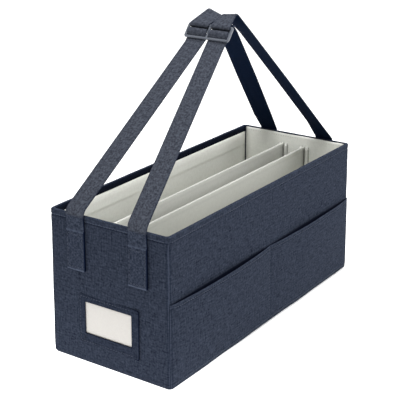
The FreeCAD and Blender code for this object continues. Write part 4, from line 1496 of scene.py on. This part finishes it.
def pocket_runs():
    end = HALF_LENGTH - CORNER - POCKET_SEAM_END
    level_line = np.linspace(-end, end, 200)
    runs = [(level_line, height) for height in (POCKET_TOP - POCKET_STITCH, POCKET_FOOT_LINE)]
    runs.append((0.0, np.linspace(POCKET_FOOT_LINE, POCKET_TOP - MM, 60)))
    return [wall_run("front", along, height, pocket_stand(along, height)) for along, height in runs]


def holder_runs():
    low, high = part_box("label_holder")
    depth = (high[0] - low[0]) * HOLDER_LINE_LIFT
    open_end, sewn_end = low[1] + MM, high[1] - HOLDER_LINE
    foot, head = low[2] + HOLDER_LINE, high[2] - HOLDER_LINE
    corners = [(open_end, foot), (sewn_end, foot), (sewn_end, head), (open_end, head)]
    runs = []
    for a, b in zip(corners, corners[1:]):
        path = on_label_end(np.linspace(a, b, 12), depth)
        runs.append((path, np.broadcast_to(-X, path.shape)))
    return runs


print("rows of stitches", len(pocket_runs()), "on the pocket,", len(holder_runs()), "on the holder")

# %% [markdown]
# ## Stitches on the box
# The box is sewn with a dark thread outside and a pale one on the lining. All its stitches could be one
# mesh with two materials, but a piece for each seam is easier to find and to change.

# %% Stitches on the box
SEAMS = {  # runs, thread and material slot
    "rim_stitches": (rim_runs(), dark_thread, "cover_cloth"),
    "lining_stitches": (inside_runs(), pale_thread, "lining_cloth"),
    "pocket_stitches": (pocket_runs(), dark_thread, "cover_cloth"),
    "label_holder_stitches": (holder_runs(), dark_thread, "cover_cloth"),
}
rows = [stitches(name, runs, thread, "box") for name, (runs, thread, slot) in SEAMS.items()]
print("stitches on the box", sum(len(row.data.polygons) // len(BEAD_FACES) for row in rows))

# %% [markdown]
# ## Seams of the straps
# A strap is stitched along both edges, and its tab is sewn on in a rectangle. The lines could be drawn
# once more by hand, but the rings of a strap already say where its edges are and which way they face,
# so the seams are taken from them.

# %% Seams of the straps
EDGE_LINES = (-0.8, 0.8)  # shares of a strap's half width
SEWN_BOX = (115.5 * MM, 154.5 * MM)  # heights of the rectangle on a tab


def strap_run(rings, start, stop, share):
    """A run along one side of a strap's outer face."""
    part = slice(start, stop + 1)
    out = rings["out"][part]
    path = rings["middle"][part] + rings["side"][part] * (rings["width"][part, None] / 2 * share)
    return path + out * rings["thickness"][part, None] / 2, out


def edge_runs(rings, start, stop):
    return [strap_run(rings, start, stop, share) for share in EDGE_LINES]


def tab_runs(rings, top):
    """A sewn rectangle on a tab."""
    ends = [int(np.argmin(np.abs(rings["middle"][:, 2] - height)[:top])) for height in SEWN_BOX]
    runs = edge_runs(rings, *ends)
    for ring in ends:
        out = rings["out"][ring]
        path = rings["middle"][ring] + out * rings["thickness"][ring] / 2
        shares = np.linspace(*EDGE_LINES, 6)
        path = path + np.multiply.outer(shares * rings["width"][ring] / 2, rings["side"][ring])
        runs.append((path, np.broadcast_to(out, path.shape)))
    return runs


print("sewn rectangle", round(SEWN_BOX[1] - SEWN_BOX[0], 4), "m high")

# %% [markdown]
# ## Stitches on the straps
# The legs flatten towards the rim as the handle comes down. All the stitches could stay with the box,
# but then those of the legs would be left in the air. So each leg's stitches are a piece of their own,
# with a mesh of its own, as the leg has. The tabs' stitches stay with the box, and the crown's go with the
# grip.

tab_rows, crown_rows = [], []
for strap in straps:
    rings, top, split = strap["rings"], strap["top"], strap["split"]
    tab_rows += tab_runs(rings, top)
    crown_rows += edge_runs(rings, split, strap["sewn"])
    leg_rows = edge_runs(rings, top, split)
    row = stitches(strap["name"] + "_leg_stitches", leg_rows, dark_thread, "box")
    for piece in (strap["leg"], row):
        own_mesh(piece)
    rows.append(row)
rows.append(stitches("tab_stitches", tab_rows, dark_thread, "box"))
rows.append(stitches("crown_stitches", crown_rows, dark_thread, "grip"))
print("stitches in all", sum(len(row.data.polygons) // len(BEAD_FACES) for row in rows))
